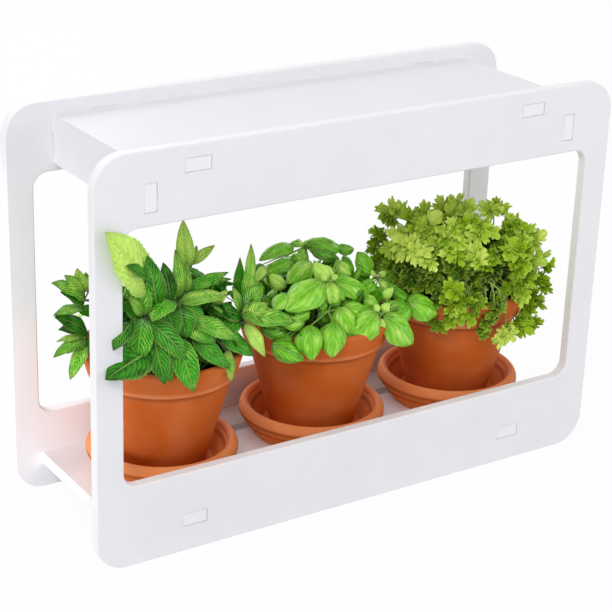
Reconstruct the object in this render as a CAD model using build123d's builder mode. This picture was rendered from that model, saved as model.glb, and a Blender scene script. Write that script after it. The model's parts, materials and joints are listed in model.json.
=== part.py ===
from build123d import *
import math
import os

# Indoor herb garden: two windowed panels, a shelf and a lamp housing between them,
# and three planted terracotta pots in saucers. Millimetres, +Z up, front towards -Y.
# The origin is on the table, under the middle of the frame.

# Panels
panel_length = 500.0
panel_height = 344.0
panel_thickness = 10.0
frame_depth = 166.0
panel_corner_radius = 27.0
panel_edge_radius = 1.5
side_post_width = 24.0
top_rail_height = 59.5
bottom_rail_height = 70.5
window_corner_radius = 13.0

# Boards between the panels, and the tabs that hold them
board_thickness = 10.5
board_edge_radius = 0.8
shelf_end_inset = 25.5
shelf_top = 33.3
roof_drop = 11.0
end_board_inset = 47.5
end_board_height = 31.0
tab_width = 22.5
tab_spacing = 324.0
tab_clearance = 0.2
tab_recess = 0.3
slot_end_inset = 34.5
slot_width = 11.0
slot_spacing = 67.0

# Lamp channel under the roof
channel_width = 124.0
channel_height = 16.0
channel_wall = 1.5
channel_lip = 6.0
channel_end_gap = 7.0
channel_box_gap = 5.2
cap_thickness = 3.0
cap_plug_length = 5.0
diffuser_thickness = 2.5
slide_clearance = 0.3
strip_end_gap = 10.0
strip_width = 12.0
strip_thickness = 1.6
strip_spacing = 38.0
chip_size = 5.0
chip_height = 0.9
chip_pitch = 24.0
chip_end_gap = 5.0

# Screws, one size for each job
lamp_screw_radius = 1.5
lamp_screw_head_radius = 3.4
lamp_screw_head_height = 2.0
lamp_screw_grip = 7.5
lamp_screw_spacing_x = 125.0
lamp_screw_spacing_y = 38.0
small_screw_radius = 1.0
small_screw_head_radius = 2.1
small_screw_head_height = 1.4
small_screw_grip = 4.0
screw_clearance = 0.05

# Control box beside the right end board
box_length = 72.0
box_width = 92.0
box_height = 25.0
box_wall = 2.0
box_ear = 10.0
timer_length = 46.0
timer_width = 66.0
timer_thickness = 1.6
timer_post_height = 3.5
timer_post_radius = 3.0
timer_hole_inset = 4.0
timer_end_gap = 3.0
terminal_length = 8.0
terminal_width = 14.0
terminal_height = 12.0
capacitor_radius = 4.0
capacitor_height = 9.5
chip_block = 9.0
chip_block_height = 1.8
wire_radius = 0.7
wire_gap = 4.0
wire_bend_radius = 3.0
wire_hole_radius = 3.6
wire_rise_run = 2.25

# Push button and supply inlet in the right end board
fitting_drop = 13.5
switch_offset = -19.0
inlet_offset = 19.0
fitting_clearance = 0.1
flange_thickness = 1.5
switch_flange_radius = 8.0
switch_barrel_radius = 5.8
switch_thread_length = 5.0
switch_rear_size = 12.0
switch_rear_length = 9.0
switch_bore_depth = 12.0
button_radius = 4.0
button_running_clearance = 0.2
button_stand_out = 2.2
button_length = 8.0
button_travel = 1.5
button_end_radius = 0.6
spring_radius = 2.8
spring_wire_radius = 0.3
spring_turns = 3.25
spring_gap = 0.2
inlet_flange_radius = 6.5
inlet_barrel_radius = 4.9
inlet_thread_length = 5.0
inlet_rear_radius = 4.2
inlet_rear_length = 6.0
inlet_bore_radius = 2.8
inlet_bore_depth = 9.5
inlet_pin_radius = 1.0
inlet_pin_length = 8.5
nut_thickness = 3.0
nut_wall = 3.0

# Saucers and pots
pot_spacing = 151.0
pot_shift = 4.0
saucer_foot_radius = 50.0
saucer_floor = 7.0
saucer_well_radius = 44.0
saucer_lip_radius = 64.5
saucer_lip_width = 9.0
saucer_height = 30.0
saucer_ridge_height = 11.0
saucer_groove = 1.3
pot_base_radius = 36.5
pot_height = 108.0
pot_wall = 6.0
pot_floor = 7.0
pot_shoulder_height = 84.0
pot_shoulder_radius = 59.0
pot_collar_step = 3.5
pot_panel_gap = 4.5
pot_drain_radius = 8.0
pot_foot_radius = 1.5
soil_depth_below_rim = 14.0
soil_clearance = 0.3

# Plants
stem_radius = 2.0
stem_ring_radius = 26.0
crown_rim_gap = 1.5
crown_panel_gap = 4.0
crown_stem_gap = 0.3
crown_gap = 4.0
crown_pleat = 0.13
crown_sections = 7
crown_droop = 22.0
crown_widest = 0.2
crown_low_angle = 38.0
crown_top_angle = 80.0
mint_reach = 97.0
mint_height = 70.0
mint_lean = 0.75
mint_stem_count = 7
mint_lobes = 11
basil_height = 57.0
basil_lean = 0.0
basil_stem_count = 6
basil_lobes = 9
parsley_reach = 84.0
parsley_height = 78.0
parsley_lean = 0.35
parsley_stem_count = 8
parsley_lobes = 13
mint_basil_line = -66.0
basil_parsley_line = 84.0

# Places worked out from the sizes above
half_inside = frame_depth / 2 - panel_thickness
pot_rim_radius = half_inside - pot_panel_gap
shelf_length = panel_length - 2 * shelf_end_inset
slot_length = shelf_length - 2 * slot_end_inset
end_board_spacing = panel_length - 2 * end_board_inset
window_length = panel_length - 2 * side_post_width
window_height = panel_height - top_rail_height - bottom_rail_height
window_middle = bottom_rail_height + window_height / 2
roof_top = panel_height - roof_drop
roof_underside = roof_top - board_thickness
roof_length = end_board_spacing + board_thickness
end_inner = end_board_spacing / 2 - board_thickness / 2
end_outer = end_board_spacing / 2 + board_thickness / 2
end_board_middle = roof_underside - end_board_height / 2
tab_reach = frame_depth - 2 * tab_recess
box_right = end_inner - slide_clearance
box_left = box_right - box_length
box_middle = (box_left + box_right) / 2
channel_left = -end_inner + channel_end_gap
channel_right = box_left - channel_box_gap
channel_middle = (channel_left + channel_right) / 2
channel_length = channel_right - channel_left
strip_length = channel_length - 2 * strip_end_gap
chips_per_strip = 1 + int((strip_length - chip_size - 2 * chip_end_gap) // chip_pitch)
channel_bottom = roof_underside - channel_height
channel_roof = roof_underside - channel_wall
pot_base = shelf_top + saucer_floor
pot_places = {"left": pot_shift - pot_spacing, "centre": pot_shift, "right": pot_shift + pot_spacing}

os.makedirs("parts", exist_ok=True)


def save(builder, name):
    """Label a finished piece and write it to its own file."""
    builder.part.label = name
    export_step(builder.part, f"parts/{name}.step")


# Front and rear panels: rounded board, rounded window, six mortises
for name, inner_face in (("front_panel", half_inside), ("rear_panel", -frame_depth / 2)):
    with BuildPart() as panel:
        with BuildSketch(Plane.XZ.offset(inner_face)):
            with Locations((0, panel_height / 2)):
                RectangleRounded(panel_length, panel_height, panel_corner_radius)
            with Locations((0, window_middle)):
                RectangleRounded(window_length, window_height, window_corner_radius, mode=Mode.SUBTRACT)
        extrude(amount=panel_thickness)
        fillet(panel.faces().filter_by(Axis.Y).edges(), panel_edge_radius)
        with BuildSketch(Plane.XZ.offset(inner_face)):
            for board_middle in (shelf_top - board_thickness / 2, roof_top - board_thickness / 2):
                with Locations((0, board_middle)):
                    with GridLocations(tab_spacing, 1, 2, 1):
                        Rectangle(tab_width + 2 * tab_clearance, board_thickness + 2 * tab_clearance)
            with Locations((0, end_board_middle)):
                with GridLocations(end_board_spacing, 1, 2, 1):
                    Rectangle(board_thickness + 2 * tab_clearance, tab_width + 2 * tab_clearance)
        extrude(amount=panel_thickness, mode=Mode.SUBTRACT)
    save(panel, name)

# Shelf with two long slots and four tabs
with BuildPart() as shelf_board:
    with BuildSketch(Plane.XY.offset(shelf_top - board_thickness)):
        Rectangle(shelf_length, 2 * half_inside)
        with GridLocations(tab_spacing, 1, 2, 1):
            Rectangle(tab_width, tab_reach)
        with GridLocations(1, slot_spacing, 1, 2):
            SlotOverall(slot_length, slot_width, mode=Mode.SUBTRACT)
    extrude(amount=board_thickness)
    shelf_ends = shelf_board.faces().filter_by(Axis.X).sort_by(Axis.X)
    fillet((shelf_ends[0] + shelf_ends[-1]).edges().filter_by(Axis.Y), board_edge_radius)
save(shelf_board, "shelf_board")

# Roof of the lamp housing, with pilot holes for the lamp channel and the control box
ear_spacing_x = box_length - 2 * box_ear
ear_spacing_y = box_width + box_ear
with BuildPart() as top_board:
    with BuildSketch(Plane.XY.offset(roof_underside)):
        Rectangle(roof_length, 2 * half_inside)
        with GridLocations(tab_spacing, 1, 2, 1):
            Rectangle(tab_width, tab_reach)
    extrude(amount=board_thickness)
    roof_ends = top_board.faces().filter_by(Axis.X).sort_by(Axis.X)
    fillet((roof_ends[0] + roof_ends[-1]).edges().filter_by(Axis.Y).group_by(Axis.Z)[-1], board_edge_radius)
    with BuildSketch(Plane.XY.offset(roof_underside)):
        with Locations((channel_middle, 0)):
            with GridLocations(lamp_screw_spacing_x, lamp_screw_spacing_y, 3, 2):
                Circle(lamp_screw_radius + screw_clearance)
    extrude(amount=lamp_screw_grip, mode=Mode.SUBTRACT)
    with BuildSketch(Plane.XY.offset(roof_underside)):
        with Locations((box_middle, 0)):
            with GridLocations(ear_spacing_x, ear_spacing_y, 2, 2):
                Circle(small_screw_radius + screw_clearance)
    extrude(amount=small_screw_grip + screw_clearance, mode=Mode.SUBTRACT)
save(top_board, "top_board")

# End boards of the lamp housing: the right one has the holes for the push button and the inlet
fitting_middle = roof_underside - fitting_drop
for name, side in (("end_board_left", -1), ("end_board_right", 1)):
    with BuildPart() as end_board:
        with BuildSketch(Plane.YZ.offset(side * end_board_spacing / 2)):
            with Locations((0, end_board_middle)):
                Rectangle(2 * half_inside, end_board_height)
                Rectangle(tab_reach, tab_width)
            if side > 0:
                with Locations((switch_offset, fitting_middle)):
                    Circle(switch_barrel_radius + fitting_clearance, mode=Mode.SUBTRACT)
                with Locations((inlet_offset, fitting_middle)):
                    Circle(inlet_barrel_radius + fitting_clearance, mode=Mode.SUBTRACT)
        extrude(amount=board_thickness / 2, both=True)
    save(end_board, name)

# Lamp channel: one profile along X, with lips that carry the diffuser
channel_inside = channel_width - 2 * channel_wall
with BuildPart() as lamp_channel:
    with BuildSketch(Plane.YZ.offset(channel_left)):
        with Locations((0, roof_underside - channel_height / 2)):
            Rectangle(channel_width, channel_height)
        with Locations((0, (channel_roof + channel_bottom + channel_wall) / 2)):
            Rectangle(channel_inside, channel_height - 2 * channel_wall, mode=Mode.SUBTRACT)
        with Locations((0, channel_bottom + channel_wall / 2)):
            Rectangle(channel_inside - 2 * channel_lip, channel_wall, mode=Mode.SUBTRACT)
    extrude(amount=channel_length)
    with BuildSketch(Plane.XY.offset(channel_roof)):
        with Locations((channel_middle, 0)):
            with GridLocations(lamp_screw_spacing_x, lamp_screw_spacing_y, 3, 2):
                Circle(lamp_screw_radius + screw_clearance)
    extrude(amount=channel_wall, mode=Mode.SUBTRACT)
save(lamp_channel, "lamp_channel")

# Diffuser sheet on the channel's lips
diffuser_bottom = channel_bottom + channel_wall
with BuildPart() as lamp_diffuser:
    with BuildSketch(Plane.XY.offset(diffuser_bottom)):
        with Locations((channel_middle, 0)):
            Rectangle(channel_length, channel_inside - 2 * slide_clearance)
    extrude(amount=diffuser_thickness)
save(lamp_diffuser, "lamp_diffuser")

# Channel caps: a plate over the end, and a plug between the diffuser and the channel's roof
plug_bottom = diffuser_bottom + diffuser_thickness + slide_clearance
plug_top = channel_roof - slide_clearance
for name, end, outward in (("channel_cap_left", channel_left, -1), ("channel_cap_right", channel_right, 1)):
    with BuildPart() as channel_cap:
        with BuildSketch(Plane.YZ.offset(end)):
            with Locations((0, roof_underside - channel_height / 2)):
                Rectangle(channel_width, channel_height)
        extrude(amount=outward * cap_thickness)
        fillet(channel_cap.edges().filter_by(Axis.X), channel_wall)
        with BuildSketch(Plane.YZ.offset(end)):
            with Locations((0, (plug_bottom + plug_top) / 2)):
                Rectangle(channel_inside - 2 * slide_clearance, plug_top - plug_bottom)
                Rectangle(channel_inside - 2 * channel_lip, plug_top - plug_bottom, mode=Mode.SUBTRACT)
        extrude(amount=-outward * cap_plug_length)
        if outward > 0:
            with BuildSketch(Plane.YZ.offset(end)):
                with Locations((0, (plug_bottom + plug_top) / 2)):
                    Circle(wire_hole_radius)
            extrude(amount=cap_thickness, mode=Mode.SUBTRACT)
    save(channel_cap, name)

# Circuit strips under the channel's roof, and the lamp chips on them
strip_bottom = channel_roof - strip_thickness
for place, y in (("front", -strip_spacing), ("middle", 0.0), ("rear", strip_spacing)):
    with BuildPart() as led_strip:
        with BuildSketch(Plane.XY.offset(strip_bottom)):
            with Locations((channel_middle, y)):
                Rectangle(strip_length, strip_width)
        extrude(amount=strip_thickness)
    save(led_strip, f"led_strip_{place}")

with BuildPart() as led_chips:
    with BuildSketch(Plane.XY.offset(strip_bottom - chip_height)):
        with Locations((channel_middle, 0)):
            with GridLocations(chip_pitch, strip_spacing, chips_per_strip, 3):
                Rectangle(chip_size, chip_size)
    extrude(amount=chip_height)
save(led_chips, "led_chips")

# Pan-head screws that hold the channel, heads down
with BuildPart() as channel_screws:
    with BuildSketch(Plane.XY.offset(channel_roof)):
        with Locations((channel_middle, 0)):
            with GridLocations(lamp_screw_spacing_x, lamp_screw_spacing_y, 3, 2):
                Circle(lamp_screw_head_radius)
    extrude(amount=-lamp_screw_head_height)
    fillet(channel_screws.edges().group_by(Axis.Z)[0], lamp_screw_head_height / 2)
    with BuildSketch(Plane.XY.offset(channel_roof)):
        with Locations((channel_middle, 0)):
            with GridLocations(lamp_screw_spacing_x, lamp_screw_spacing_y, 3, 2):
                Circle(lamp_screw_radius)
    extrude(amount=channel_wall + lamp_screw_grip - screw_clearance)
save(channel_screws, "channel_screws")

# Control box: a tray open towards the roof and the end board, with four ears and four posts
box_bottom = roof_underside - box_height
timer_left = box_left + box_wall + timer_end_gap
timer_middle = timer_left + timer_length / 2
timer_bottom = box_bottom + box_wall + timer_post_height
timer_hole_x = timer_length - 2 * timer_hole_inset
timer_hole_y = timer_width - 2 * timer_hole_inset
with BuildPart() as control_box:
    with BuildSketch(Plane.XY.offset(box_bottom)):
        with Locations((box_middle, 0)):
            Rectangle(box_length, box_width)
    extrude(amount=box_height)
    with BuildSketch(Plane.XY.offset(box_bottom + box_wall)):
        with Locations((box_middle + box_wall / 2, 0)):
            Rectangle(box_length - box_wall, box_width - 2 * box_wall)
    extrude(amount=box_height - box_wall, mode=Mode.SUBTRACT)
    fillet(control_box.edges().filter_by(Axis.Z).group_by(Axis.X)[0], box_wall)
    with BuildSketch(Plane.XY.offset(roof_underside)):
        with Locations((box_middle, 0)):
            with GridLocations(ear_spacing_x, ear_spacing_y, 2, 2):
                Rectangle(box_ear, box_ear)
                Circle(small_screw_radius + screw_clearance, mode=Mode.SUBTRACT)
    extrude(amount=-box_wall)
    with BuildSketch(Plane.XY.offset(box_bottom + box_wall)):
        with Locations((timer_middle, 0)):
            with GridLocations(timer_hole_x, timer_hole_y, 2, 2):
                Circle(timer_post_radius)
                Circle(small_screw_radius + screw_clearance, mode=Mode.SUBTRACT)
    extrude(amount=timer_post_height)
    with BuildSketch(Plane.YZ.offset(box_left)):
        with Locations((0, (plug_bottom + plug_top) / 2)):
            Circle(wire_hole_radius)
    extrude(amount=box_wall, mode=Mode.SUBTRACT)
save(control_box, "control_box")

with BuildPart() as control_box_screws:
    with BuildSketch(Plane.XY.offset(roof_underside - box_wall)):
        with Locations((box_middle, 0)):
            with GridLocations(ear_spacing_x, ear_spacing_y, 2, 2):
                Circle(small_screw_head_radius)
    extrude(amount=-small_screw_head_height)
    with BuildSketch(Plane.XY.offset(roof_underside - box_wall)):
        with Locations((box_middle, 0)):
            with GridLocations(ear_spacing_x, ear_spacing_y, 2, 2):
                Circle(small_screw_radius)
    extrude(amount=box_wall + small_screw_grip)
save(control_box_screws, "control_box_screws")

# Timer board on its posts, its components and its screws
timer_top = timer_bottom + timer_thickness
with BuildPart() as timer_board:
    with BuildSketch(Plane.XY.offset(timer_bottom)):
        with Locations((timer_middle, 0)):
            Rectangle(timer_length, timer_width)
            with GridLocations(timer_hole_x, timer_hole_y, 2, 2):
                Circle(small_screw_radius + screw_clearance, mode=Mode.SUBTRACT)
    extrude(amount=timer_thickness)
save(timer_board, "timer_board")

with BuildPart() as timer_board_screws:
    with BuildSketch(Plane.XY.offset(timer_top)):
        with Locations((timer_middle, 0)):
            with GridLocations(timer_hole_x, timer_hole_y, 2, 2):
                Circle(small_screw_head_radius)
    extrude(amount=small_screw_head_height)
    with BuildSketch(Plane.XY.offset(timer_top)):
        with Locations((timer_middle, 0)):
            with GridLocations(timer_hole_x, timer_hole_y, 2, 2):
                Circle(small_screw_radius)
    extrude(amount=screw_clearance - timer_thickness - timer_post_height)
save(timer_board_screws, "timer_board_screws")

# Terminals face the fittings on the right and the lamps on the left
right_terminal = timer_left + timer_length - terminal_length / 2
left_terminal = timer_left + terminal_length / 2
with BuildPart() as timer_components:
    with BuildSketch(Plane.XY.offset(timer_top)):
        with Locations((right_terminal, switch_offset), (right_terminal, inlet_offset), (left_terminal, 0)):
            Rectangle(terminal_length, terminal_width)
    extrude(amount=terminal_height)
    with BuildSketch(Plane.XY.offset(timer_top)):
        with Locations((timer_middle, 0)):
            Rectangle(chip_block, chip_block)
    extrude(amount=chip_block_height)
    with BuildSketch(Plane.XY.offset(timer_top)):
        with Locations((timer_middle, switch_offset), (timer_middle, inlet_offset)):
            Circle(capacitor_radius)
    extrude(amount=capacitor_height)
save(timer_components, "timer_components")

# Push-button switch: flange outside, barrel through the board, square rear, bore for the button
with BuildPart() as switch_body:
    with BuildSketch(Plane.YZ.offset(end_outer)):
        with Locations((switch_offset, fitting_middle)):
            Circle(switch_flange_radius)
    extrude(amount=flange_thickness)
    fillet(switch_body.edges().group_by(Axis.X)[-1], flange_thickness / 2)
    with BuildSketch(Plane.YZ.offset(end_inner - switch_thread_length)):
        with Locations((switch_offset, fitting_middle)):
            Circle(switch_barrel_radius)
    extrude(amount=switch_thread_length + board_thickness)
    with BuildSketch(Plane.YZ.offset(end_inner - switch_thread_length)):
        with Locations((switch_offset, fitting_middle)):
            Rectangle(switch_rear_size, switch_rear_size)
    extrude(amount=-switch_rear_length)
    with BuildSketch(Plane.YZ.offset(end_outer + flange_thickness)):
        with Locations((switch_offset, fitting_middle)):
            Circle(button_radius + button_running_clearance)
    extrude(amount=-switch_bore_depth, mode=Mode.SUBTRACT)
save(switch_body, "switch_body")

with BuildPart() as switch_nut:
    with BuildSketch(Plane.YZ.offset(end_inner)):
        with Locations((switch_offset, fitting_middle)):
            RegularPolygon(switch_barrel_radius + nut_wall, 6)
            Circle(switch_barrel_radius + fitting_clearance, mode=Mode.SUBTRACT)
    extrude(amount=-nut_thickness)
save(switch_nut, "switch_nut")

button_face = end_outer + flange_thickness + button_stand_out
with BuildPart() as power_button:
    with BuildSketch(Plane.YZ.offset(button_face)):
        with Locations((switch_offset, fitting_middle)):
            Circle(button_radius)
    extrude(amount=-button_length)
    fillet(power_button.edges().group_by(Axis.X)[-1], button_end_radius)
save(power_button, "power_button")

# Return spring on the bore's floor: its top is where the pressed button stops
spring_floor = end_outer + flange_thickness - switch_bore_depth
spring_height = button_face - button_length - button_travel - spring_gap - spring_floor
coil_height = spring_height - 2 * spring_wire_radius
spring_start = spring_floor + spring_wire_radius
with BuildPart() as button_spring:
    with BuildLine() as coil:
        Helix(
            coil_height / spring_turns,
            coil_height,
            spring_radius,
            center=(spring_start, switch_offset, fitting_middle),
            direction=(1, 0, 0),
        )
    with BuildSketch(Plane(origin=coil.line @ 0, z_dir=coil.line % 0)):
        Circle(spring_wire_radius)
    sweep(is_frenet=True)
save(button_spring, "button_spring")

# Supply inlet: flange, barrel, rear, plug bore, and the centre pin
with BuildPart() as dc_inlet:
    with BuildSketch(Plane.YZ.offset(end_outer)):
        with Locations((inlet_offset, fitting_middle)):
            Circle(inlet_flange_radius)
    extrude(amount=flange_thickness)
    fillet(dc_inlet.edges().group_by(Axis.X)[-1], flange_thickness / 2)
    with BuildSketch(Plane.YZ.offset(end_inner - inlet_thread_length)):
        with Locations((inlet_offset, fitting_middle)):
            Circle(inlet_barrel_radius)
    extrude(amount=inlet_thread_length + board_thickness)
    with BuildSketch(Plane.YZ.offset(end_inner - inlet_thread_length)):
        with Locations((inlet_offset, fitting_middle)):
            Circle(inlet_rear_radius)
    extrude(amount=-inlet_rear_length)
    with BuildSketch(Plane.YZ.offset(end_outer + flange_thickness)):
        with Locations((inlet_offset, fitting_middle)):
            Circle(inlet_bore_radius)
    extrude(amount=-inlet_bore_depth, mode=Mode.SUBTRACT)
save(dc_inlet, "dc_inlet")

with BuildPart() as dc_inlet_nut:
    with BuildSketch(Plane.YZ.offset(end_inner)):
        with Locations((inlet_offset, fitting_middle)):
            RegularPolygon(inlet_barrel_radius + nut_wall, 6)
            Circle(inlet_barrel_radius + fitting_clearance, mode=Mode.SUBTRACT)
    extrude(amount=-nut_thickness)
save(dc_inlet_nut, "dc_inlet_nut")

with BuildPart() as dc_inlet_pin:
    with BuildSketch(Plane.YZ.offset(end_outer + flange_thickness - inlet_bore_depth)):
        with Locations((inlet_offset, fitting_middle)):
            Circle(inlet_pin_radius)
    extrude(amount=inlet_pin_length)
    fillet(dc_inlet_pin.edges().group_by(Axis.X)[-1], inlet_pin_radius / 2)
save(dc_inlet_pin, "dc_inlet_pin")

# Wires: a pair from each fitting to its terminal, and a pair from the left terminal to the lamps
timer_right = timer_left + timer_length
wire_runs = (
    ("switch_wires", switch_offset, end_inner - switch_thread_length - switch_rear_length),
    ("supply_wires", inlet_offset, end_inner - inlet_thread_length - inlet_rear_length),
)
for name, offset, fitting_rear in wire_runs:
    with BuildPart() as wires:
        with BuildSketch(Plane.YZ.offset(timer_right)):
            with Locations((offset, fitting_middle)):
                with GridLocations(wire_gap, 1, 2, 1):
                    Circle(wire_radius)
        extrude(amount=fitting_rear - timer_right)
    save(wires, name)

wire_level = (plug_bottom + plug_top) / 2
strip_right = channel_middle + strip_length / 2
wire_rise = strip_right + wire_gap
strip_middle = channel_roof - strip_thickness / 2
with BuildPart() as lamp_wires:
    for y in (-wire_gap / 2, wire_gap / 2):
        with BuildLine() as route:
            FilletPolyline(
                (timer_left, y, wire_level),
                (wire_rise + wire_rise_run, y, wire_level),
                (wire_rise, y, strip_middle),
                (strip_right, y, strip_middle),
                radius=wire_bend_radius,
            )
        with BuildSketch(Plane(origin=route.line @ 0, z_dir=route.line % 0)):
            Circle(wire_radius)
        sweep()
save(lamp_wires, "lamp_wires")

# Saucers: foot, ridge and groove, thick rolled lip, sloping well
saucer_lip_curve = saucer_lip_width / 2
saucer_rim_middle = saucer_lip_radius - saucer_lip_curve
saucer_lip_inside = saucer_lip_radius - saucer_lip_width
saucer_lip_bottom = saucer_ridge_height + 2 * saucer_groove
for side, x in pot_places.items():
    with BuildPart() as saucer:
        with BuildSketch(Plane((x, 0, shelf_top), x_dir=(1, 0, 0), z_dir=(0, -1, 0))):
            with BuildLine():
                foot = Line((0, 0), (saucer_foot_radius, 0))
                ridge = Line(foot @ 1, (saucer_rim_middle - saucer_groove, saucer_ridge_height))
                groove = ThreePointArc(
                    ridge @ 1,
                    (saucer_rim_middle - 2 * saucer_groove, saucer_ridge_height + saucer_groove),
                    (saucer_rim_middle - saucer_groove, saucer_lip_bottom),
                )
                lip = ThreePointArc(
                    groove @ 1,
                    (saucer_lip_radius, (saucer_lip_bottom + saucer_height) / 2),
                    (saucer_rim_middle, saucer_height),
                )
                roll_end = (saucer_lip_inside, saucer_height - saucer_lip_curve)
                roll = RadiusArc(lip @ 1, roll_end, -saucer_lip_curve)
                well = Line(roll @ 1, (saucer_well_radius, saucer_floor))
                Polyline(well @ 1, (0, saucer_floor), (0, 0))
            make_face()
        revolve(axis=Axis((x, 0, 0), (0, 0, 1)))
    save(saucer, f"saucer_{side}")

# Pots: tapered body, stepped and flared collar, rounded rim, drain hole
inner_rim_radius = pot_rim_radius - pot_wall
inner_shoulder_radius = pot_shoulder_radius - pot_wall
inner_base_radius = pot_base_radius - pot_wall + pot_foot_radius
inner_rim_height = pot_height - pot_wall / 2
step_radius = pot_shoulder_radius + pot_collar_step
for side, x in pot_places.items():
    with BuildPart() as pot:
        with BuildSketch(Plane((x, 0, pot_base), x_dir=(1, 0, 0), z_dir=(0, -1, 0))):
            with BuildLine():
                base = Line((pot_drain_radius, 0), (pot_base_radius - pot_foot_radius, 0))
                foot = Line(base @ 1, (pot_base_radius, pot_foot_radius))
                body = Line(foot @ 1, (pot_shoulder_radius, pot_shoulder_height))
                step = Line(body @ 1, (step_radius, pot_shoulder_height + pot_foot_radius / 2))
                collar = Line(step @ 1, (pot_rim_radius, inner_rim_height))
                rim_crest = (pot_rim_radius - pot_wall / 2, pot_height)
                rim = ThreePointArc(collar @ 1, rim_crest, (inner_rim_radius, inner_rim_height))
                shoulder = Line(rim @ 1, (inner_shoulder_radius, pot_shoulder_height))
                inside = Line(shoulder @ 1, (inner_base_radius, pot_floor))
                Polyline(inside @ 1, (pot_drain_radius, pot_floor), base @ 0)
            make_face()
        revolve(axis=Axis((x, 0, 0), (0, 0, 1)))
    save(pot, f"pot_{side}")

# Soil: fills each pot from its floor to just under the rim
soil_top = pot_height - soil_depth_below_rim
soil_share = (soil_top - pot_shoulder_height) / (inner_rim_height - pot_shoulder_height)
soil_top_radius = inner_shoulder_radius + soil_share * (inner_rim_radius - inner_shoulder_radius)
for side, x in pot_places.items():
    with BuildPart() as soil:
        with BuildSketch(Plane((x, 0, pot_base), x_dir=(1, 0, 0), z_dir=(0, -1, 0))):
            with BuildLine():
                Polyline(
                    (0, pot_floor),
                    (inner_base_radius - soil_clearance, pot_floor),
                    (inner_shoulder_radius - soil_clearance, pot_shoulder_height),
                    (soil_top_radius - soil_clearance, soil_top),
                    (0, soil_top),
                    (0, pot_floor),
                )
            make_face()
        revolve(axis=Axis((x, 0, 0), (0, 0, 1)))
    save(soil, f"soil_{side}")

# Plants: a ring of stems on the soil, and a pleated leafy crown that hangs over the rim
soil_level = pot_base + soil_top
crown_floor = pot_base + pot_height + crown_rim_gap
crown_depth = half_inside - crown_panel_gap


def crown_outline(half_length, share, lobes):
    """Points of one pleated outline: a share of the crown's oval, with every second point drawn in."""
    outline = []
    for step in range(2 * lobes):
        reach = share * (1 - crown_pleat * (step % 2))
        angle = math.pi * step / lobes
        outline.append((half_length * reach * math.cos(angle), crown_depth * reach * math.sin(angle)))
    return outline


def plant(name, side, west, east, height, lean, stems, lobes):
    """Make a plant's stems, and its crown between two planes across the frame.

    lean is 0 for a crown with its top over the pot, and 1 for one whose front stands upright.
    """
    pot_x = pot_places[side]
    with BuildPart() as stalks:
        with BuildSketch(Plane.XY.offset(soil_level)):
            with Locations((pot_x, 0)):
                Circle(stem_radius)
                with PolarLocations(stem_ring_radius, stems):
                    Circle(stem_radius)
        extrude(amount=crown_floor - crown_stem_gap - soil_level)
    save(stalks, f"{name}_stems")

    # The crown's side is an oval too: it is widest above the rim, and hangs below it
    widest = crown_floor + crown_widest * height
    rise = (crown_floor + height - widest) / math.sin(math.radians(crown_top_angle))
    droop = (widest - crown_floor + crown_droop) / math.sin(math.radians(crown_low_angle))
    with BuildPart() as crown:
        for section in range(crown_sections):
            turn = section / (crown_sections - 1) * (crown_low_angle + crown_top_angle) - crown_low_angle
            level = widest + (rise if turn > 0 else droop) * math.sin(math.radians(turn))
            share = math.cos(math.radians(turn))
            forward = lean * crown_depth * (1 - share) if turn > 0 else 0
            with BuildSketch(Plane(((west + east) / 2, -forward, level))):
                with BuildLine():
                    Polyline(*crown_outline((east - west) / 2, share, lobes), close=True)
                make_face()
        loft(ruled=True)
        with Locations((pot_x, 0, crown_floor)):
            Cylinder(
                pot_rim_radius + crown_rim_gap,
                pot_height,
                align=(Align.CENTER, Align.CENTER, Align.MAX),
                mode=Mode.SUBTRACT,
            )
    save(crown, f"{name}_leaves")


mint_west = pot_places["left"] - mint_reach
basil_west = mint_basil_line + crown_gap
parsley_west = basil_parsley_line + crown_gap
parsley_east = pot_places["right"] + parsley_reach
plant("mint", "left", mint_west, mint_basil_line, mint_height, mint_lean, mint_stem_count, mint_lobes)
plant("basil", "centre", basil_west, basil_parsley_line, basil_height, basil_lean, basil_stem_count, basil_lobes)
plant("parsley", "right", parsley_west, parsley_east, parsley_height, parsley_lean, parsley_stem_count, parsley_lobes)
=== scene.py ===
# %% [markdown]
# # An indoor herb garden, dressed for its portrait
#
# The real thing is a white flat-pack frame of painted board with a lamp under its roof. Three
# terracotta pots stand in saucers on its shelf: mint on the left, basil in the middle and parsley on
# the right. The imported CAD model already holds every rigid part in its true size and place, so this
# lesson loads it first and only adds what CAD leaves plain: finishes, leaves, stalks and soil.

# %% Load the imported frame
import json
import math

import bpy
import numpy as np
from mathutils import Matrix, Vector

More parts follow.
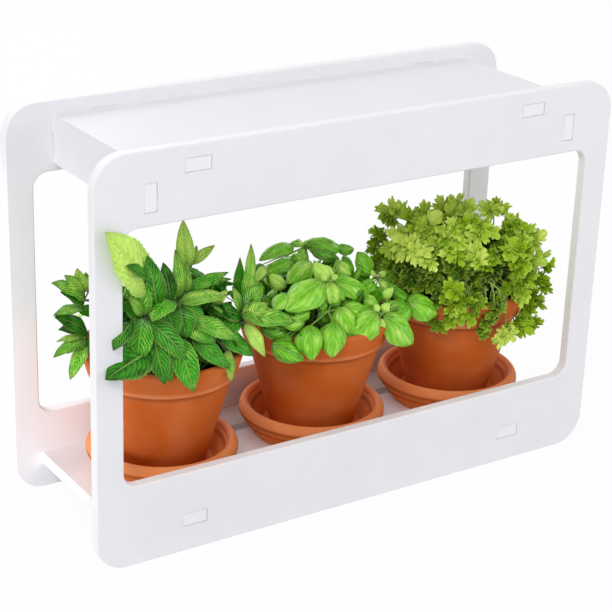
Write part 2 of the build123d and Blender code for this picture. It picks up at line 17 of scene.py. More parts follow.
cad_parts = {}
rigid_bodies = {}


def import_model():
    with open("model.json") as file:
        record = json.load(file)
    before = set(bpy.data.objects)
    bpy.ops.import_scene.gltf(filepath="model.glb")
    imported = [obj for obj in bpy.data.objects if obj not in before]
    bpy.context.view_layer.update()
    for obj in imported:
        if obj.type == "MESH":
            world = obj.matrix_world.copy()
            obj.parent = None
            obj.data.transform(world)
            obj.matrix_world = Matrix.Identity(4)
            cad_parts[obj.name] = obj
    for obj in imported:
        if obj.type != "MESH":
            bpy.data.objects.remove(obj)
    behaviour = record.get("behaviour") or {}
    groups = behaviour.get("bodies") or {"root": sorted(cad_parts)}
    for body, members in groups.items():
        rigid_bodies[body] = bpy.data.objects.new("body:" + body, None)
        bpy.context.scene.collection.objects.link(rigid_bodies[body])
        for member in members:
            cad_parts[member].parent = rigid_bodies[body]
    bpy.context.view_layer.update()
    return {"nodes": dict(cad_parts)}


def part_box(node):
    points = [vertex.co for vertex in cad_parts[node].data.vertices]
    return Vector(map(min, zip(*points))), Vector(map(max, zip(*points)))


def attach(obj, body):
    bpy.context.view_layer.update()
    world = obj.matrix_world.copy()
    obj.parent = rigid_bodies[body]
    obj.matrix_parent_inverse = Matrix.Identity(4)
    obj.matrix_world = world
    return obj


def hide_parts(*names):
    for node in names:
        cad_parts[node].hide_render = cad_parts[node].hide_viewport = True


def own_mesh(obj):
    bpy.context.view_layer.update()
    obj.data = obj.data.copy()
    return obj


for leftover in list(bpy.data.objects):
    bpy.data.objects.remove(leftover)
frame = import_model()
nodes = frame["nodes"]
print("nodes loaded:", len(nodes))

# %% [markdown]
# ## The camera
#
# A product picture is taken from a little above and to the left. The straight edges of the two panels
# give the camera's place, its tilt and its focal length. The picture was cropped after it was taken, so
# the lens axis isn't in the middle of the frame. Blender calls that a shift, and measures it in widths
# of the picture.

# %% Place the camera
PICTURE_SIDE = 612
FOCAL_PIXELS = 1723.2
AXIS_PIXEL = (258.55, 289.23)
camera_place = Vector((-0.7769, -1.1483, 0.7146))
camera_forward = Vector((0.49522, 0.78703, -0.36789)).normalized()
camera_right = camera_forward.cross(Vector((0.17508, 0.32436, 0.92959))).normalized()
camera_up = camera_right.cross(camera_forward)

camera = bpy.data.objects.new("camera", bpy.data.cameras.new("camera"))
bpy.context.scene.collection.objects.link(camera)
camera.matrix_world = Matrix.Translation(camera_place) @ Matrix(
    (camera_right, camera_up, -camera_forward)
).transposed().to_4x4()
camera.data.sensor_width = 36.0
camera.data.lens = camera.data.sensor_width * FOCAL_PIXELS / PICTURE_SIDE
camera.data.shift_x = 0.5 - AXIS_PIXEL[0] / PICTURE_SIDE
camera.data.shift_y = AXIS_PIXEL[1] / PICTURE_SIDE - 0.5
bpy.context.scene.camera = camera
print("lens", round(camera.data.lens, 1), "mm")


def on_sight(pixel, depth):
    """The point behind a pixel of the picture, where its line of sight meets the plane y = depth."""
    across = (pixel[0] - AXIS_PIXEL[0]) / FOCAL_PIXELS
    down = (pixel[1] - AXIS_PIXEL[1]) / FOCAL_PIXELS
    way = camera_forward + camera_right * across - camera_up * down
    return np.array(camera_place + way * ((depth - camera_place.y) / way.y))


# %% [markdown]
# ## Shader maths as sentences
#
# A material in Blender is a graph of nodes. Written node by node, a simple sum takes six lines. The
# class Field below wraps one output socket and gives it the arithmetic operators, so `1 - mask * 0.4`
# adds the Math nodes by itself. The class Graph holds the nodes of a material or of the world, and its
# method `add` makes any other node: the settings come first, then the values or links of its sockets. A
# Finish is the graph of one material, with short ways to the patterns that this object's pieces need.

# %% Field and Graph
class Field:
    """A number, a colour or a whole shader over a surface: an output socket with arithmetic."""

    def __init__(self, graph, socket):
        self.graph = graph
        self.socket = socket

    def maths(self, operation, *values):
        return self.graph.add("ShaderNodeMath", {"operation": operation}, dict(enumerate(values)))

    def __add__(self, other):
        return self.maths("ADD", self, other)

    __radd__ = __add__

    def __mul__(self, other):
        return self.maths("MULTIPLY", self, other)

    __rmul__ = __mul__

    def __sub__(self, other):
        return self.maths("SUBTRACT", self, other)

    def __rsub__(self, other):
        return self.maths("SUBTRACT", other, self)

    def __truediv__(self, other):
        return self.maths("DIVIDE", self, other)

    def __pow__(self, power):
        return self.maths("POWER", self, power)

    def __abs__(self):
        return self.maths("ABSOLUTE", self)

    def larger(self, other):
        return self.maths("MAXIMUM", self, other)

    def smaller(self, other):
        return self.maths("MINIMUM", self, other)

    def part(self):
        """What is left of the number after its whole part is taken off."""
        return self.maths("FRACT", self)

    def between(self, low, high):
        """0 below low, 1 above high, and a soft step from one to the other in between."""
        settings = {"interpolation_type": "SMOOTHSTEP", "clamp": True}
        return self.graph.add("ShaderNodeMapRange", settings, {0: self, 1: low, 2: high})


class Graph:
    """The nodes of one material or of the world."""

    def __init__(self, tree):
        self.tree = tree

    def plug(self, socket, value):
        """Link a Field to a socket, or write a plain value on it."""
        if isinstance(value, Field):
            self.tree.links.new(value.socket, socket)
        else:
            socket.default_value = value

    def add(self, kind, settings=None, sockets=None, output=0):
        """Add a node: settings first, then the values or links of its sockets."""
        node = self.tree.nodes.new(kind)
        for name, value in (settings or {}).items():
            setattr(node, name, value)
        for name, value in (sockets or {}).items():
            self.plug(node.inputs[name], value)
        return Field(self, node.outputs[output])


# %% Finish
class Finish(Graph):
    """One procedural material: a Principled shader, and short ways to reach patterns and colours."""

    def __init__(self, name, roughness=0.5, metallic=0.0, **constants):
        self.material = bpy.data.materials.new(name)
        self.material.use_nodes = True
        super().__init__(self.material.node_tree)
        self.shader = self.tree.nodes["Principled BSDF"]
        self.set(Roughness=roughness, Metallic=metallic, **constants)
        self.places = None

    def set(self, **sockets):
        """Write or link the shader's own sockets, named with _ for a space."""
        for name, value in sockets.items():
            if name.endswith("Color"):
                value = value if isinstance(value, Field) else (*value, 1.0)
            self.plug(self.shader.inputs[name.replace("_", " ")], value)

    def place(self, stretch=(1.0, 1.0, 1.0)):
        """The point of the surface in the object's own metres, stretched for grain or rings."""
        if self.places is None:
            self.places = self.add("ShaderNodeTexCoord", output="Object")
        return self.add("ShaderNodeMapping", {}, {"Vector": self.places, "Scale": stretch})

    def axis(self, letter):
        """One coordinate of the surface point, in metres."""
        return self.add("ShaderNodeSeparateXYZ", {}, {0: self.place()}, output=letter)

    def noise(self, size, detail=2.0, stretch=(1.0, 1.0, 1.0), rough=0.5):
        """Cloudy noise from about 0.3 to 0.7, whose blotches are about size metres across."""
        sockets = {"Vector": self.place(stretch), "Scale": 1.0 / size, "Detail": detail, "Roughness": rough}
        return self.add("ShaderNodeTexNoise", {}, sockets)

    def cells(self, size, output="Distance"):
        """Cell noise: the distance to the nearest seed point, or the cell's own random colour."""
        sockets = {"Vector": self.place(), "Scale": 1.0 / size}
        return self.add("ShaderNodeTexVoronoi", {}, sockets, output=output)

    def mix(self, share, low, high):
        """A colour between two colours: low where share is 0 and high where it is 1."""
        low = low if isinstance(low, Field) else (*low, 1.0)
        high = high if isinstance(high, Field) else (*high, 1.0)
        return self.add("ShaderNodeMix", {"data_type": "RGBA"}, {0: share, 6: low, 7: high}, output=2)

    def relief(self, height, depth, below=None):
        """A bump of height times depth metres. Give another bump as below to lay one over it."""
        sockets = {"Height": height, "Distance": depth, "Strength": 1.0}
        if below is not None:
            sockets["Normal"] = below
        return self.add("ShaderNodeBump", {}, sockets)


# %% [markdown]
# ## Floor and backdrop
#
# The picture was taken in a white studio. The floor here is pale and matt, and takes the shadow. More
# light would make it white, but would also wash out the object. So in the camera's own rays most of the
# floor, and all of the world behind it, is replaced by plain white. Reflections see the same white.

# %% Floor and world
FLOOR_HALF = 12.0
WHITE_SHARE = 0.95
WHITE = (1.0, 1.0, 1.0, 1.0)
SKY, SKY_STRENGTH = (0.97, 0.98, 1.0, 1.0), 0.58


def studio_white(graph, plain, glow, share):
    """Mix a plain shader with a glowing one, for rays that come from the eye or a mirror only."""
    seen = graph.add("ShaderNodeLightPath", output="Is Camera Ray")
    for ray in ("Is Glossy Ray", "Is Transmission Ray"):
        seen = seen.larger(graph.add("ShaderNodeLightPath", output=ray))
    return graph.add("ShaderNodeMixShader", {}, {0: seen * share, 1: plain, 2: glow})


floor_corners = [(x * FLOOR_HALF, y * FLOOR_HALF, 0.0) for x, y in ((-1, -1), (1, -1), (1, 1), (-1, 1))]
floor_mesh = bpy.data.meshes.new("floor")
floor_mesh.from_pydata(floor_corners, [], [(0, 1, 2, 3)])
floor = bpy.data.objects.new("floor", floor_mesh)
bpy.context.scene.collection.objects.link(floor)
floor_finish = Finish("studio_floor", roughness=0.9, Base_Color=(0.88, 0.88, 0.89))
floor_plain = Field(floor_finish, floor_finish.shader.outputs[0])
floor_glow = floor_finish.add("ShaderNodeEmission", {}, {"Color": WHITE})
floor_mixed = studio_white(floor_finish, floor_plain, floor_glow, WHITE_SHARE)
floor_finish.plug(floor_finish.tree.nodes["Material Output"].inputs["Surface"], floor_mixed)
floor_mesh.materials.append(floor_finish.material)

world = bpy.data.worlds.new("studio")
bpy.context.scene.world = world
world.use_nodes = True
studio = Graph(world.node_tree)
sky = studio.tree.nodes["Background"]
studio.plug(sky.inputs["Color"], SKY)
studio.plug(sky.inputs["Strength"], SKY_STRENGTH)
backdrop = studio.add("ShaderNodeBackground", {}, {"Color": WHITE})
world_mixed = studio_white(studio, Field(studio, sky.outputs[0]), backdrop, 1.0)
studio.plug(studio.tree.nodes["World Output"].inputs["Surface"], world_mixed)
bpy.context.scene.view_settings.view_transform = "Standard"
print("floor", 2 * FLOOR_HALF, "m wide, world strength", SKY_STRENGTH)

# %% [markdown]
# ## Lamps
#
# One big soft lamp stands high on the left in front and gives the light its direction. A wider, weaker
# one on the right fills the shadows, and a third, behind and above, rims the leaves and the boards with
# light. A small narrow one, low on the left, reaches the shelf and the rear panel past the front one's
# post. A sun would be simpler, but its shadows are hard, and those of a studio are soft.

# %% Lamps
def soft_lamp(name, place, aim, side, watts, spread=180.0):
    """A square lamp that faces a point. A smaller spread in degrees keeps its light on its aim."""
    light = bpy.data.lights.new(name, "AREA")
    light.size = side
    light.energy = watts
    light.spread = math.radians(spread)
    lamp = bpy.data.objects.new(name, light)
    lamp.location = place
    lamp.rotation_euler = (Vector(aim) - Vector(place)).to_track_quat("-Z", "Y").to_euler()
    bpy.context.scene.collection.objects.link(lamp)
    print(name, watts, "W,", side, "m wide")


soft_lamp("key_lamp", (-1.5, -1.3, 1.9), (0.0, 0.0, 0.15), side=0.8, watts=22.0)
soft_lamp("fill_lamp", (1.7, -1.6, 0.7), (0.0, 0.0, 0.15), side=1.4, watts=9.0)
soft_lamp("back_lamp", (0.05, 1.8, 1.15), (0.0, 0.0, 0.12), side=1.2, watts=13.5)
soft_lamp("side_lamp", (-0.75, -0.07, 0.10), (-0.24, 0.12, 0.10), side=0.2, watts=0.18, spread=38.0)

# %% [markdown]
# ## White painted board
#
# The boards are cut from fibreboard, sprayed white and lightly sanded. A sprayed coat isn't a mirror:
# it has a very fine orange-peel relief, faint clouds in its gloss, and a cool tint. The relief is a few
# hundredths of a millimetre deep, so only the shine shows it. Tabs of the other boards end flush in the
# panels' faces, and a fine grey line is left around each. It could be cut into the mesh, but paint hides
# all its depth, so only its colour is made, from the distance to the rectangle of each tab.

# %% Board paint
# Middles, half sizes and levels of the tabs: flat ones of shelf and roof, upright ones of the end boards
TAB_MIDDLE, END_TAB_MIDDLE = 0.162, 0.2025
TAB_HALF, BOARD_HALF = 0.01145, 0.00545
TAB_LEVELS, END_TAB_LEVEL = (0.02805, 0.32775), 0.307
SEAM_FROM, SEAM_TO = 0.0001, 0.0006
OUTER_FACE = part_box("rear_panel")[1].y
PANEL_HALF = 0.005


def dress(finish, *names):
    """Give some nodes of the frame one finish instead of their plain CAD colour."""
    for name in names:
        nodes[name].data.materials.clear()
        nodes[name].data.materials.append(finish.material)
    print(finish.material.name, "on", ", ".join(names))


def past_rectangle(finish, middle, level, half_length, half_height):
    """How far a point lies outside a rectangle of a panel's face, negative inside, on both sides of x = 0.

    It is the larger of how far the point is past the rectangle's end and past its upper or lower side.
    """
    beyond_x = abs(abs(finish.axis("X")) - middle) - half_length
    beyond_z = abs(finish.axis("Z") - level) - half_height
    return beyond_x.larger(beyond_z)


board = Finish("white_board_paint", Specular_IOR_Level=0.45)
clouds = board.noise(0.06, 3.0)
paint = board.mix(clouds.between(0.3, 0.7), (0.845, 0.838, 0.872), (0.872, 0.865, 0.895))
depth = abs(board.axis("Y"))
on_face = depth.between(OUTER_FACE - 0.0025, OUTER_FACE - 0.0015)
past_tab = past_rectangle(board, END_TAB_MIDDLE, END_TAB_LEVEL, BOARD_HALF, TAB_HALF)
for level in TAB_LEVELS:
    past_tab = past_tab.smaller(past_rectangle(board, TAB_MIDDLE, level, TAB_HALF, BOARD_HALF))
seam = (1.0 - abs(past_tab).between(SEAM_FROM, SEAM_TO)) * on_face
# Painted highlight: the ends of the tabs are painted whiter than the panel's face around them
painted_tab_highlight = (1.0 - past_tab.between(-0.0008, 0.0)) * on_face
paint = board.mix(painted_tab_highlight * 0.6, paint, (0.93, 0.925, 0.94))

# Painted light: the panels' narrow edges, the window sills among them, are painted a little whiter than their
# faces
off_middle = abs(depth - (OUTER_FACE - PANEL_HALF))
painted_light_edge = 1.0 - off_middle.between(PANEL_HALF - 0.0007, PANEL_HALF - 0.0002)
paint = board.mix(painted_light_edge * 0.9, paint, (0.955, 0.95, 0.96))
filled = board.noise(0.012, 2.0).between(0.35, 0.65)
board.set(Base_Color=board.mix(seam * (filled * 0.35 + 0.12), paint, (0.40, 0.39, 0.43)))
board.set(Roughness=0.38 + clouds * 0.16)
board.set(Normal=board.relief(board.noise(0.0016, 2.0), 0.00004))
dress(board, "front_panel", "rear_panel", "shelf_board", "top_board", "end_board_left", "end_board_right")
print("seams of", 2 * (len(TAB_LEVELS) + 1), "mortises a panel")

# %% [markdown]
# ## Terracotta
#
# Flower pots are pressed from red clay on a turning head. The tool leaves faint rings around them, and
# salts from the clay bloom in pale patches. Clay is porous, so it hardly shines. The clay is painted
# darker towards the foot, as shade. The lower edge of the collar and the saucer's roll get a painted
# highlight, and a narrow band just below each gets painted shade. These could be painted by hand, but
# they follow from the height alone, so a rule places them.

# %% Terracotta
FOOT_LEVEL, SHOULDER_LEVEL = 0.035, 0.125


def terracotta(name, low_colour, high_colour, highlight_from, highlight_to, shade_depth):
    """Fired clay, with a painted highlight from one level to another, and painted shade in a band just below
    that.
    """
    clay = Finish(name, Specular_IOR_Level=0.14)
    patches = clay.noise(0.035, 4.0).between(0.35, 0.7)
    rings = clay.noise(0.004, 2.0, stretch=(0.03, 0.03, 1.0))
    level = clay.axis("Z")
    # Painted shade: the clay is darker from the shoulder down to the foot
    body = clay.mix(level.between(FOOT_LEVEL, SHOULDER_LEVEL), low_colour, high_colour)
    bloom = clay.mix(patches * 0.22, body, (0.80, 0.32, 0.14))
    ringed = clay.mix((rings - 0.5) * 0.3 + 0.1, bloom, (0.38, 0.070, 0.008))
    # Painted shade in a narrow band just under the collar's edge or the saucer's roll
    above_shade_band = level.between(highlight_from, highlight_from + 0.001)
    corner = level.between(highlight_from - shade_depth, highlight_from - 0.001) * (1.0 - above_shade_band)
    with_painted_shade = clay.mix(corner * 0.5, ringed, (0.16, 0.030, 0.006))
    # Painted highlight on the collar's lower edge or on the saucer's roll
    painted_highlight = level.between(highlight_from, highlight_from + 0.002) * (1.0 - level.between(highlight_to - 0.004, highlight_to))
    clay.set(Base_Color=clay.mix(painted_highlight * (patches * 0.3 + 0.35), with_painted_shade, (0.86, 0.34, 0.15)))
    clay.set(Roughness=0.55 + patches * 0.2)
    clay.set(Normal=clay.relief(rings, 0.00012, clay.relief(clay.noise(0.0012, 3.0), 0.00012)))
    return clay


# How far the saucer's painted highlight reaches on either side of its lip
COLLAR_HEIGHT, LIP_HIGHLIGHT = 0.0235, 0.008
COLLAR_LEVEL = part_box("pot_left")[1].z - COLLAR_HEIGHT
LIP_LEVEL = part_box("saucer_left")[1].z
pot_clay = terracotta("pot_clay", (0.50, 0.090, 0.005), (0.60, 0.122, 0.013),
                      highlight_from=COLLAR_LEVEL, highlight_to=COLLAR_LEVEL + 0.006, shade_depth=0.006)
# The saucers' clay is a paler copy of the pots' clay, painted lighter as light falling on the saucers
saucer_clay = terracotta("saucer_clay", (0.76, 0.19, 0.030), (0.84, 0.25, 0.06),
                         highlight_from=LIP_LEVEL - LIP_HIGHLIGHT, highlight_to=LIP_LEVEL + LIP_HIGHLIGHT, shade_depth=0.004)
dress(pot_clay, "pot_left", "pot_centre", "pot_right")
dress(saucer_clay, "saucer_left", "saucer_centre", "saucer_right")

# %% [markdown]
# ## Lamp housing
#
# Under the roof hangs a drawn aluminium channel with an opal cover, three circuit strips with yellow
# phosphor in each lamp chip, and a plastic box with the timer. None of it shows in the picture, but it
# does as soon as someone looks under the roof, so every part gets the finish of its own material.
# All plastics come from one function, and all metals from another, because little more than the colour
# and the gloss differs.

# %% Moulded and drawn parts
def moulded(name, colour, roughness=0.42, shine=0.4):
    """Moulded plastic: a finely sparked surface, a little cloudy in its gloss."""
    plastic = Finish(name, Specular_IOR_Level=shine)
    cloud = plastic.noise(0.02, 3.0)
    paler = tuple(min(1.0, part * 1.08 + 0.004) for part in colour)
    plastic.set(Base_Color=plastic.mix(cloud.between(0.3, 0.7), colour, paler))
    plastic.set(Roughness=roughness + cloud * 0.14)
    plastic.set(Normal=plastic.relief(plastic.noise(0.0005, 2.0), 0.00003))
    return plastic


def drawn_metal(name, colour, roughness, stretch):
    """Metal with fine lines along the way that it was drawn or turned, where stretch is small."""
    metal = Finish(name, metallic=1.0)
    lines = metal.noise(0.0012, 3.0, stretch=stretch)
    paler = tuple(min(1.0, part * 1.06) for part in colour)
    metal.set(Base_Color=metal.mix(lines.between(0.3, 0.7), colour, paler))
    metal.set(Roughness=roughness + lines * 0.2)
    metal.set(Normal=metal.relief(lines, 0.00003))
    return metal


black_plastic = moulded("black_plastic", (0.016, 0.016, 0.018))
white_plastic = moulded("white_plastic", (0.80, 0.80, 0.81))
screw_steel = drawn_metal("screw_steel", (0.56, 0.56, 0.57), 0.24, (1.0, 1.0, 0.1))
dress(drawn_metal("drawn_aluminium", (0.72, 0.73, 0.75), 0.26, (0.02, 1.0, 1.0)), "lamp_channel")
dress(screw_steel, "channel_screws", "control_box_screws", "timer_board_screws", "button_spring")
dress(drawn_metal("inlet_brass", (0.78, 0.58, 0.26), 0.22, (0.1, 1.0, 1.0)), "dc_inlet_pin")
dress(moulded("opal_cover", (0.88, 0.88, 0.87), 0.30, 0.5), "lamp_diffuser")
dress(white_plastic, "channel_cap_left", "channel_cap_right", "control_box")
dress(black_plastic, "switch_body", "switch_nut", "dc_inlet", "dc_inlet_nut")
dress(moulded("button_grey", (0.34, 0.35, 0.37), 0.36), "power_button")

# %% [markdown]
# ## Circuit boards
#
# A circuit board is copper under lacquer, and the copper runs in fine lines that show through. Lines
# could be drawn one by one, but nobody follows them. So the board's width is counted in steps, the part
# of a step that is left over makes every line at once, and noise lets the lines wander.

# %% Circuit boards
LINES_PER_METRE = 260.0
strips = ("led_strip_front", "led_strip_middle", "led_strip_rear")
for name, lacquer, line, wearers in (
    ("strip_lacquer", (0.84, 0.85, 0.84), (0.66, 0.68, 0.66), strips),
    ("timer_lacquer", (0.010, 0.16, 0.045), (0.030, 0.30, 0.09), ("timer_board",)),
):
    circuit = Finish(name, roughness=0.3, Specular_IOR_Level=0.5)
    line_count = circuit.axis("Y") * LINES_PER_METRE + circuit.noise(0.03, 1.0) * 3.0
    copper = 1.0 - line_count.part().between(0.25, 0.35)
    circuit.set(Base_Color=circuit.mix(copper, lacquer, line))
    circuit.set(Normal=circuit.relief(copper, 0.00004))
    dress(circuit, *wearers)

# %% [markdown]
# ## Lamp chips
#
# A lamp chip is a white package with a round window of yellow phosphor. All the chips are one part of the
# model, so no chip can have a material of its own. But they stand at even steps along the strips, and the
# part of a step that is left over says how far a point lies from the middle of its chip.

# %% Lamp chips
CHIP_PITCH, STRIP_PITCH, PHOSPHOR_RADIUS = 0.024, 0.038, 0.0017
chip = Finish("lamp_chip", roughness=0.35)
strip_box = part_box("led_strip_middle")
strip_middle = (strip_box[0].x + strip_box[1].x) / 2
along_strip = ((chip.axis("X") - strip_middle) / CHIP_PITCH).part() - 0.5
row = abs(chip.axis("Y"))
off_row = row.smaller(abs(row - STRIP_PITCH))
out_of_window = ((along_strip * CHIP_PITCH) ** 2.0 + off_row ** 2.0) ** 0.5
window = 1.0 - out_of_window.between(PHOSPHOR_RADIUS - 0.0002, PHOSPHOR_RADIUS + 0.0002)
phosphor = chip.mix(chip.noise(0.0004, 2.0), (0.80, 0.58, 0.05), (0.92, 0.76, 0.16))
chip.set(Base_Color=chip.mix(window, (0.82, 0.82, 0.80), phosphor))
dress(chip, "led_chips")

# %% [markdown]
# ## Timer
#
# The components on the timer's board are one part of the model as well. Tall ones are mostly black and
# low ones grey, so the colour follows the height over the board.

# %% Timer
component = Finish("timer_component", roughness=0.38)
lowest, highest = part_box("timer_components")
speck = component.noise(0.0008, 2.0)
tall_black = component.mix(speck, (0.012, 0.012, 0.014), (0.03, 0.03, 0.034))
above = component.axis("Z").between(lowest.z, highest.z)
component.set(Base_Color=component.mix(above, (0.10, 0.10, 0.11), tall_black))
component.set(Normal=component.relief(speck, 0.00004))
dress(component, "timer_components")

# %% [markdown]
# ## Wires
#
# A red and a black wire run side by side in each pair, and both are one part of the model. The side of
# the pair's middle on which a point lies picks its colour, and noise rubs the insulation a little.

# %% Wires
for name in ("supply_wires", "switch_wires", "lamp_wires"):
    wire = Finish("insulation_" + name, roughness=0.4, Specular_IOR_Level=0.4)
    low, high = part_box(name)
    red_side = (wire.axis("Y") - (low.y + high.y) / 2).between(-0.0001, 0.0001)
    rubbed = wire.noise(0.003, 2.0) * 0.4
    red = wire.mix(rubbed, (0.55, 0.02, 0.015), (0.40, 0.02, 0.015))
    wire.set(Base_Color=wire.mix(red_side, wire.mix(rubbed, (0.012, 0.012, 0.013), (0.03, 0.03, 0.03)), red))
    dress(wire, name)

# %% [markdown]
# ## Closed skins
#
# Leaves, stalks, soil and crumbs all have the same make-up: rings of points, one after the other, and a
# last point at each end where the skin closes. So one function can turn any of them into a mesh. The
# points come as one array, with one entry for each leaf or stalk, and every leaf gets its faces from the
# same pattern of numbers. Modelling one leaf and copying it would be quicker, but then all leaves of a
# plant would bend alike.

# %% From rings to a mesh
def unit(vectors):
    """Each vector of an array, divided by its length."""
    return vectors / np.maximum(np.linalg.norm(vectors, axis=-1, keepdims=True), 1e-9)


def skin_faces(rings, columns):
    """Faces of one skin: point 0 is its start, then come the rings, and the last point is its end."""
    column = np.arange(columns)
    beside = (column + 1) % columns
    first = 1 + np.arange(rings - 1)[:, None] * columns
    sides = np.stack([first + column, first + beside, first + columns + beside, first + columns + column], -1)
    last = 1 + (rings - 1) * columns
    start = np.stack([np.zeros_like(column), 1 + beside, 1 + column], -1)
    end = np.stack([last + column, last + beside, np.full_like(column, last + columns)], -1)
    return sides.reshape(-1, 4), np.concatenate([start, end])


# Leaves stay this far behind the front panel, and what would pass is pressed to this share of its depth
LEAF_GAP, PRESSED_SHARE = 0.0008, 0.05
PANEL_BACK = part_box("front_panel")[1].y + LEAF_GAP
print("leaves lie behind y =", round(PANEL_BACK, 4))


def against_panel(points):
    """Lay what would reach into the front panel against its back, still in its order of depth.

    A point past the back goes to the back plus a small share of how far past it lies.
    """
    points[..., 1] = np.maximum(points[..., 1], PANEL_BACK + (points[..., 1] - PANEL_BACK) * PRESSED_SHARE)
    return points


def skins(name, rings, ends, finish, body, slot, spots=None, tones=None, sharp=60.0):
    """Make one piece of many closed skins.

    rings is (skins, rings, columns, 3) and ends is (skins, 2, 3). spots are UV places of the same shape
    as rings with 2 numbers, and tones one number for each skin.
    """
    count, ring_count, columns = rings.shape[:3]
    each = ring_count * columns + 2
    points = np.concatenate([ends[:, :1], rings.reshape(count, -1, 3), ends[:, 1:]], 1).reshape(-1, 3)
    quads, triangles = skin_faces(ring_count, columns)
    shift = (np.arange(count) * each)[:, None, None]
    faces = (quads[None] + shift).reshape(-1, 4).tolist() + (triangles[None] + shift).reshape(-1, 3).tolist()
    mesh = bpy.data.meshes.new(name)
    mesh.from_pydata(points.tolist(), [], faces)
    mesh.shade_smooth()
    mesh.set_sharp_from_angle(angle=math.radians(sharp))
    if spots is not None:
        middle = np.full((count, 1, 2), 0.5)
        start, end = middle * (0.0, 1.0), middle * (2.0, 1.0)
        flat = np.concatenate([start, spots.reshape(count, -1, 2), end], 1).reshape(-1, 2)
        corner = np.empty(len(mesh.loops), np.int32)
        mesh.loops.foreach_get("vertex_index", corner)
        mesh.uv_layers.new(name="blade").data.foreach_set("uv", flat[corner].astype(np.float32).ravel())
    if tones is not None:
        values = np.repeat(np.asarray(tones, np.float32), each)
        mesh.attributes.new("tone", "FLOAT", "POINT").data.foreach_set("value", values)
    mesh.materials.append(finish.material)
    piece = bpy.data.objects.new(name, mesh)
    bpy.context.scene.collection.objects.link(piece)
    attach(piece, body)
    print(name, "skins", count, "faces", len(faces))
    return piece


# %% [markdown]
# ## Blades and stalks
#
# A leaf's midrib is an arc from its base to its tip. Across the midrib the blade folds up a little, its
# rim curls, and a ripple runs along it. Top and underside are one closed loop, thickest on the midrib.
# A flat card with a cut-out picture would be lighter, but it has no edge and no fold to catch the light.
# A stalk is a tube along a curve that leaves the soil upright and bends over to where its leaves sit.

# %% Blade and stalk surfaces
def oval(low, high):
    """A leaf's half width along it: a power of the way from the base times a power of the way to the tip.

    The largest value is 1, where the way from the base is low / (low + high).
    """
    widest = low / (low + high)
    peak = widest ** low * (1 - widest) ** high
    return lambda share: share ** low * (1 - share) ** high / peak


class Leaves:
    """Leaves of one kind, gathered one by one and then shaped all together."""

    def __init__(self, outline, rows, columns, thickness, curl, ripple, quilt, teeth=0, bite=0.0):
        self.outline, self.rows, self.columns = outline, rows, columns
        self.thickness, self.curl, self.ripple, self.quilt = thickness, curl, ripple, quilt
        self.teeth, self.bite = teeth, bite
        self.gathered = []

    def add(self, base, tip, width, tone, facing, bend, turn, fold=0.25):
        """Bend is how far the midrib turns, in radians, and turn rolls the blade about it, in degrees."""
        self.gathered.append((*base, *tip, width, tone, *facing, bend, math.radians(turn), fold))

    def points(self):
        """Rings and ends of every leaf.

        Along the leaf, the midrib turns evenly by bend. Its place is the chord times a difference of
        sines, plus the leaf's upward side times a difference of cosines. Across, a column at angle a
        lies at -cos(a) of the half width, and sin(a) of half the thickness above the middle. The fold
        lifts it with its distance from the midrib. Curl lowers it, and the ripple waves it, with the
        square of that distance. The quilt rises between side veins, which are counted along the blade
        and lean forward towards its rim. The teeth widen and narrow the blade like a saw.
        """
        g = np.array(self.gathered)
        base, tip, width, facing = g[:, 0:3], g[:, 3:6], g[:, 6], g[:, 8:11]
        bend, turn, fold = g[:, 11], g[:, 12], g[:, 13]
        chord = tip - base
        length = np.linalg.norm(chord, axis=1)
        along = unit(chord)
        up = unit(facing - (facing * along).sum(1, keepdims=True) * along)
        side = np.cross(along, up)
        up, side = (up * np.cos(turn)[:, None] + side * np.sin(turn)[:, None],
                    side * np.cos(turn)[:, None] - up * np.sin(turn)[:, None])
        share = (np.arange(self.rows) + 0.5) / self.rows
        share = share + (share - 0.5) * 0.5 / self.rows
        half = bend[:, None] / 2
        angle = bend[:, None] * (share - 0.5)
        arc = (length / np.sinc(bend / 2 / np.pi) / bend)[:, None]
        forward = arc * (np.sin(angle) + np.sin(half))
        rise = arc * (np.cos(angle) - np.cos(half))
        rib = base[:, None] + forward[..., None] * along[:, None] + rise[..., None] * up[:, None]
        over = np.cos(angle)[..., None] * up[:, None] + np.sin(angle)[..., None] * along[:, None]
        turned = 2 * np.pi * np.arange(self.columns) / self.columns
        across, lift = -np.cos(turned), np.sin(turned)
        saw = (share * self.teeth) % 1.0
        reach = width[:, None] / 2 * self.outline(share) * (1 + self.bite * (0.5 - saw))
        phase = rng.uniform(0, 1, (len(g), 1, 1))
        wave = np.sin(2 * np.pi * (2.0 * share[:, None] + phase + 0.25 * np.sign(across)))
        sink = np.sin(fold)[:, None, None] * abs(across) + (self.ripple * wave - self.curl) * across ** 2
        veins, lean, puff = self.quilt
        gap = abs((share[:, None] * veins - abs(across) * (abs(across) * 0.4 + 0.6) * lean) % 1.0 * 2 - 1)
        swell = puff * (1 - gap ** 2) * np.sin(np.pi * abs(across) ** 0.7)
        height = reach[..., None] * (sink + swell)
        height = height + self.thickness / 2 * lift * self.outline(share)[:, None]
        spread = reach[..., None] * across * np.cos(fold)[:, None, None]
        rings = (rib[:, :, None] + spread[..., None] * side[:, None, None]
                 + height[..., None] * over[:, :, None])
        spots = np.broadcast_arrays(share[:, None], 0.5 + across / 2)
        spots = np.broadcast_to(np.stack(spots, -1), rings.shape[:3] + (2,))
        return rings, np.stack([base, tip], 1), spots, g[:, 7]

    def piece(self, name, finish, body, slot, behind_panel=True):
        """Shape the gathered leaves as one piece, and lay it behind the front panel if it belongs there."""
        rings, ends, spots, tones = self.points()
        if behind_panel:
            rings, ends = against_panel(rings), against_panel(ends)
        return skins(name, rings, ends, finish, body, slot, spots, tones)


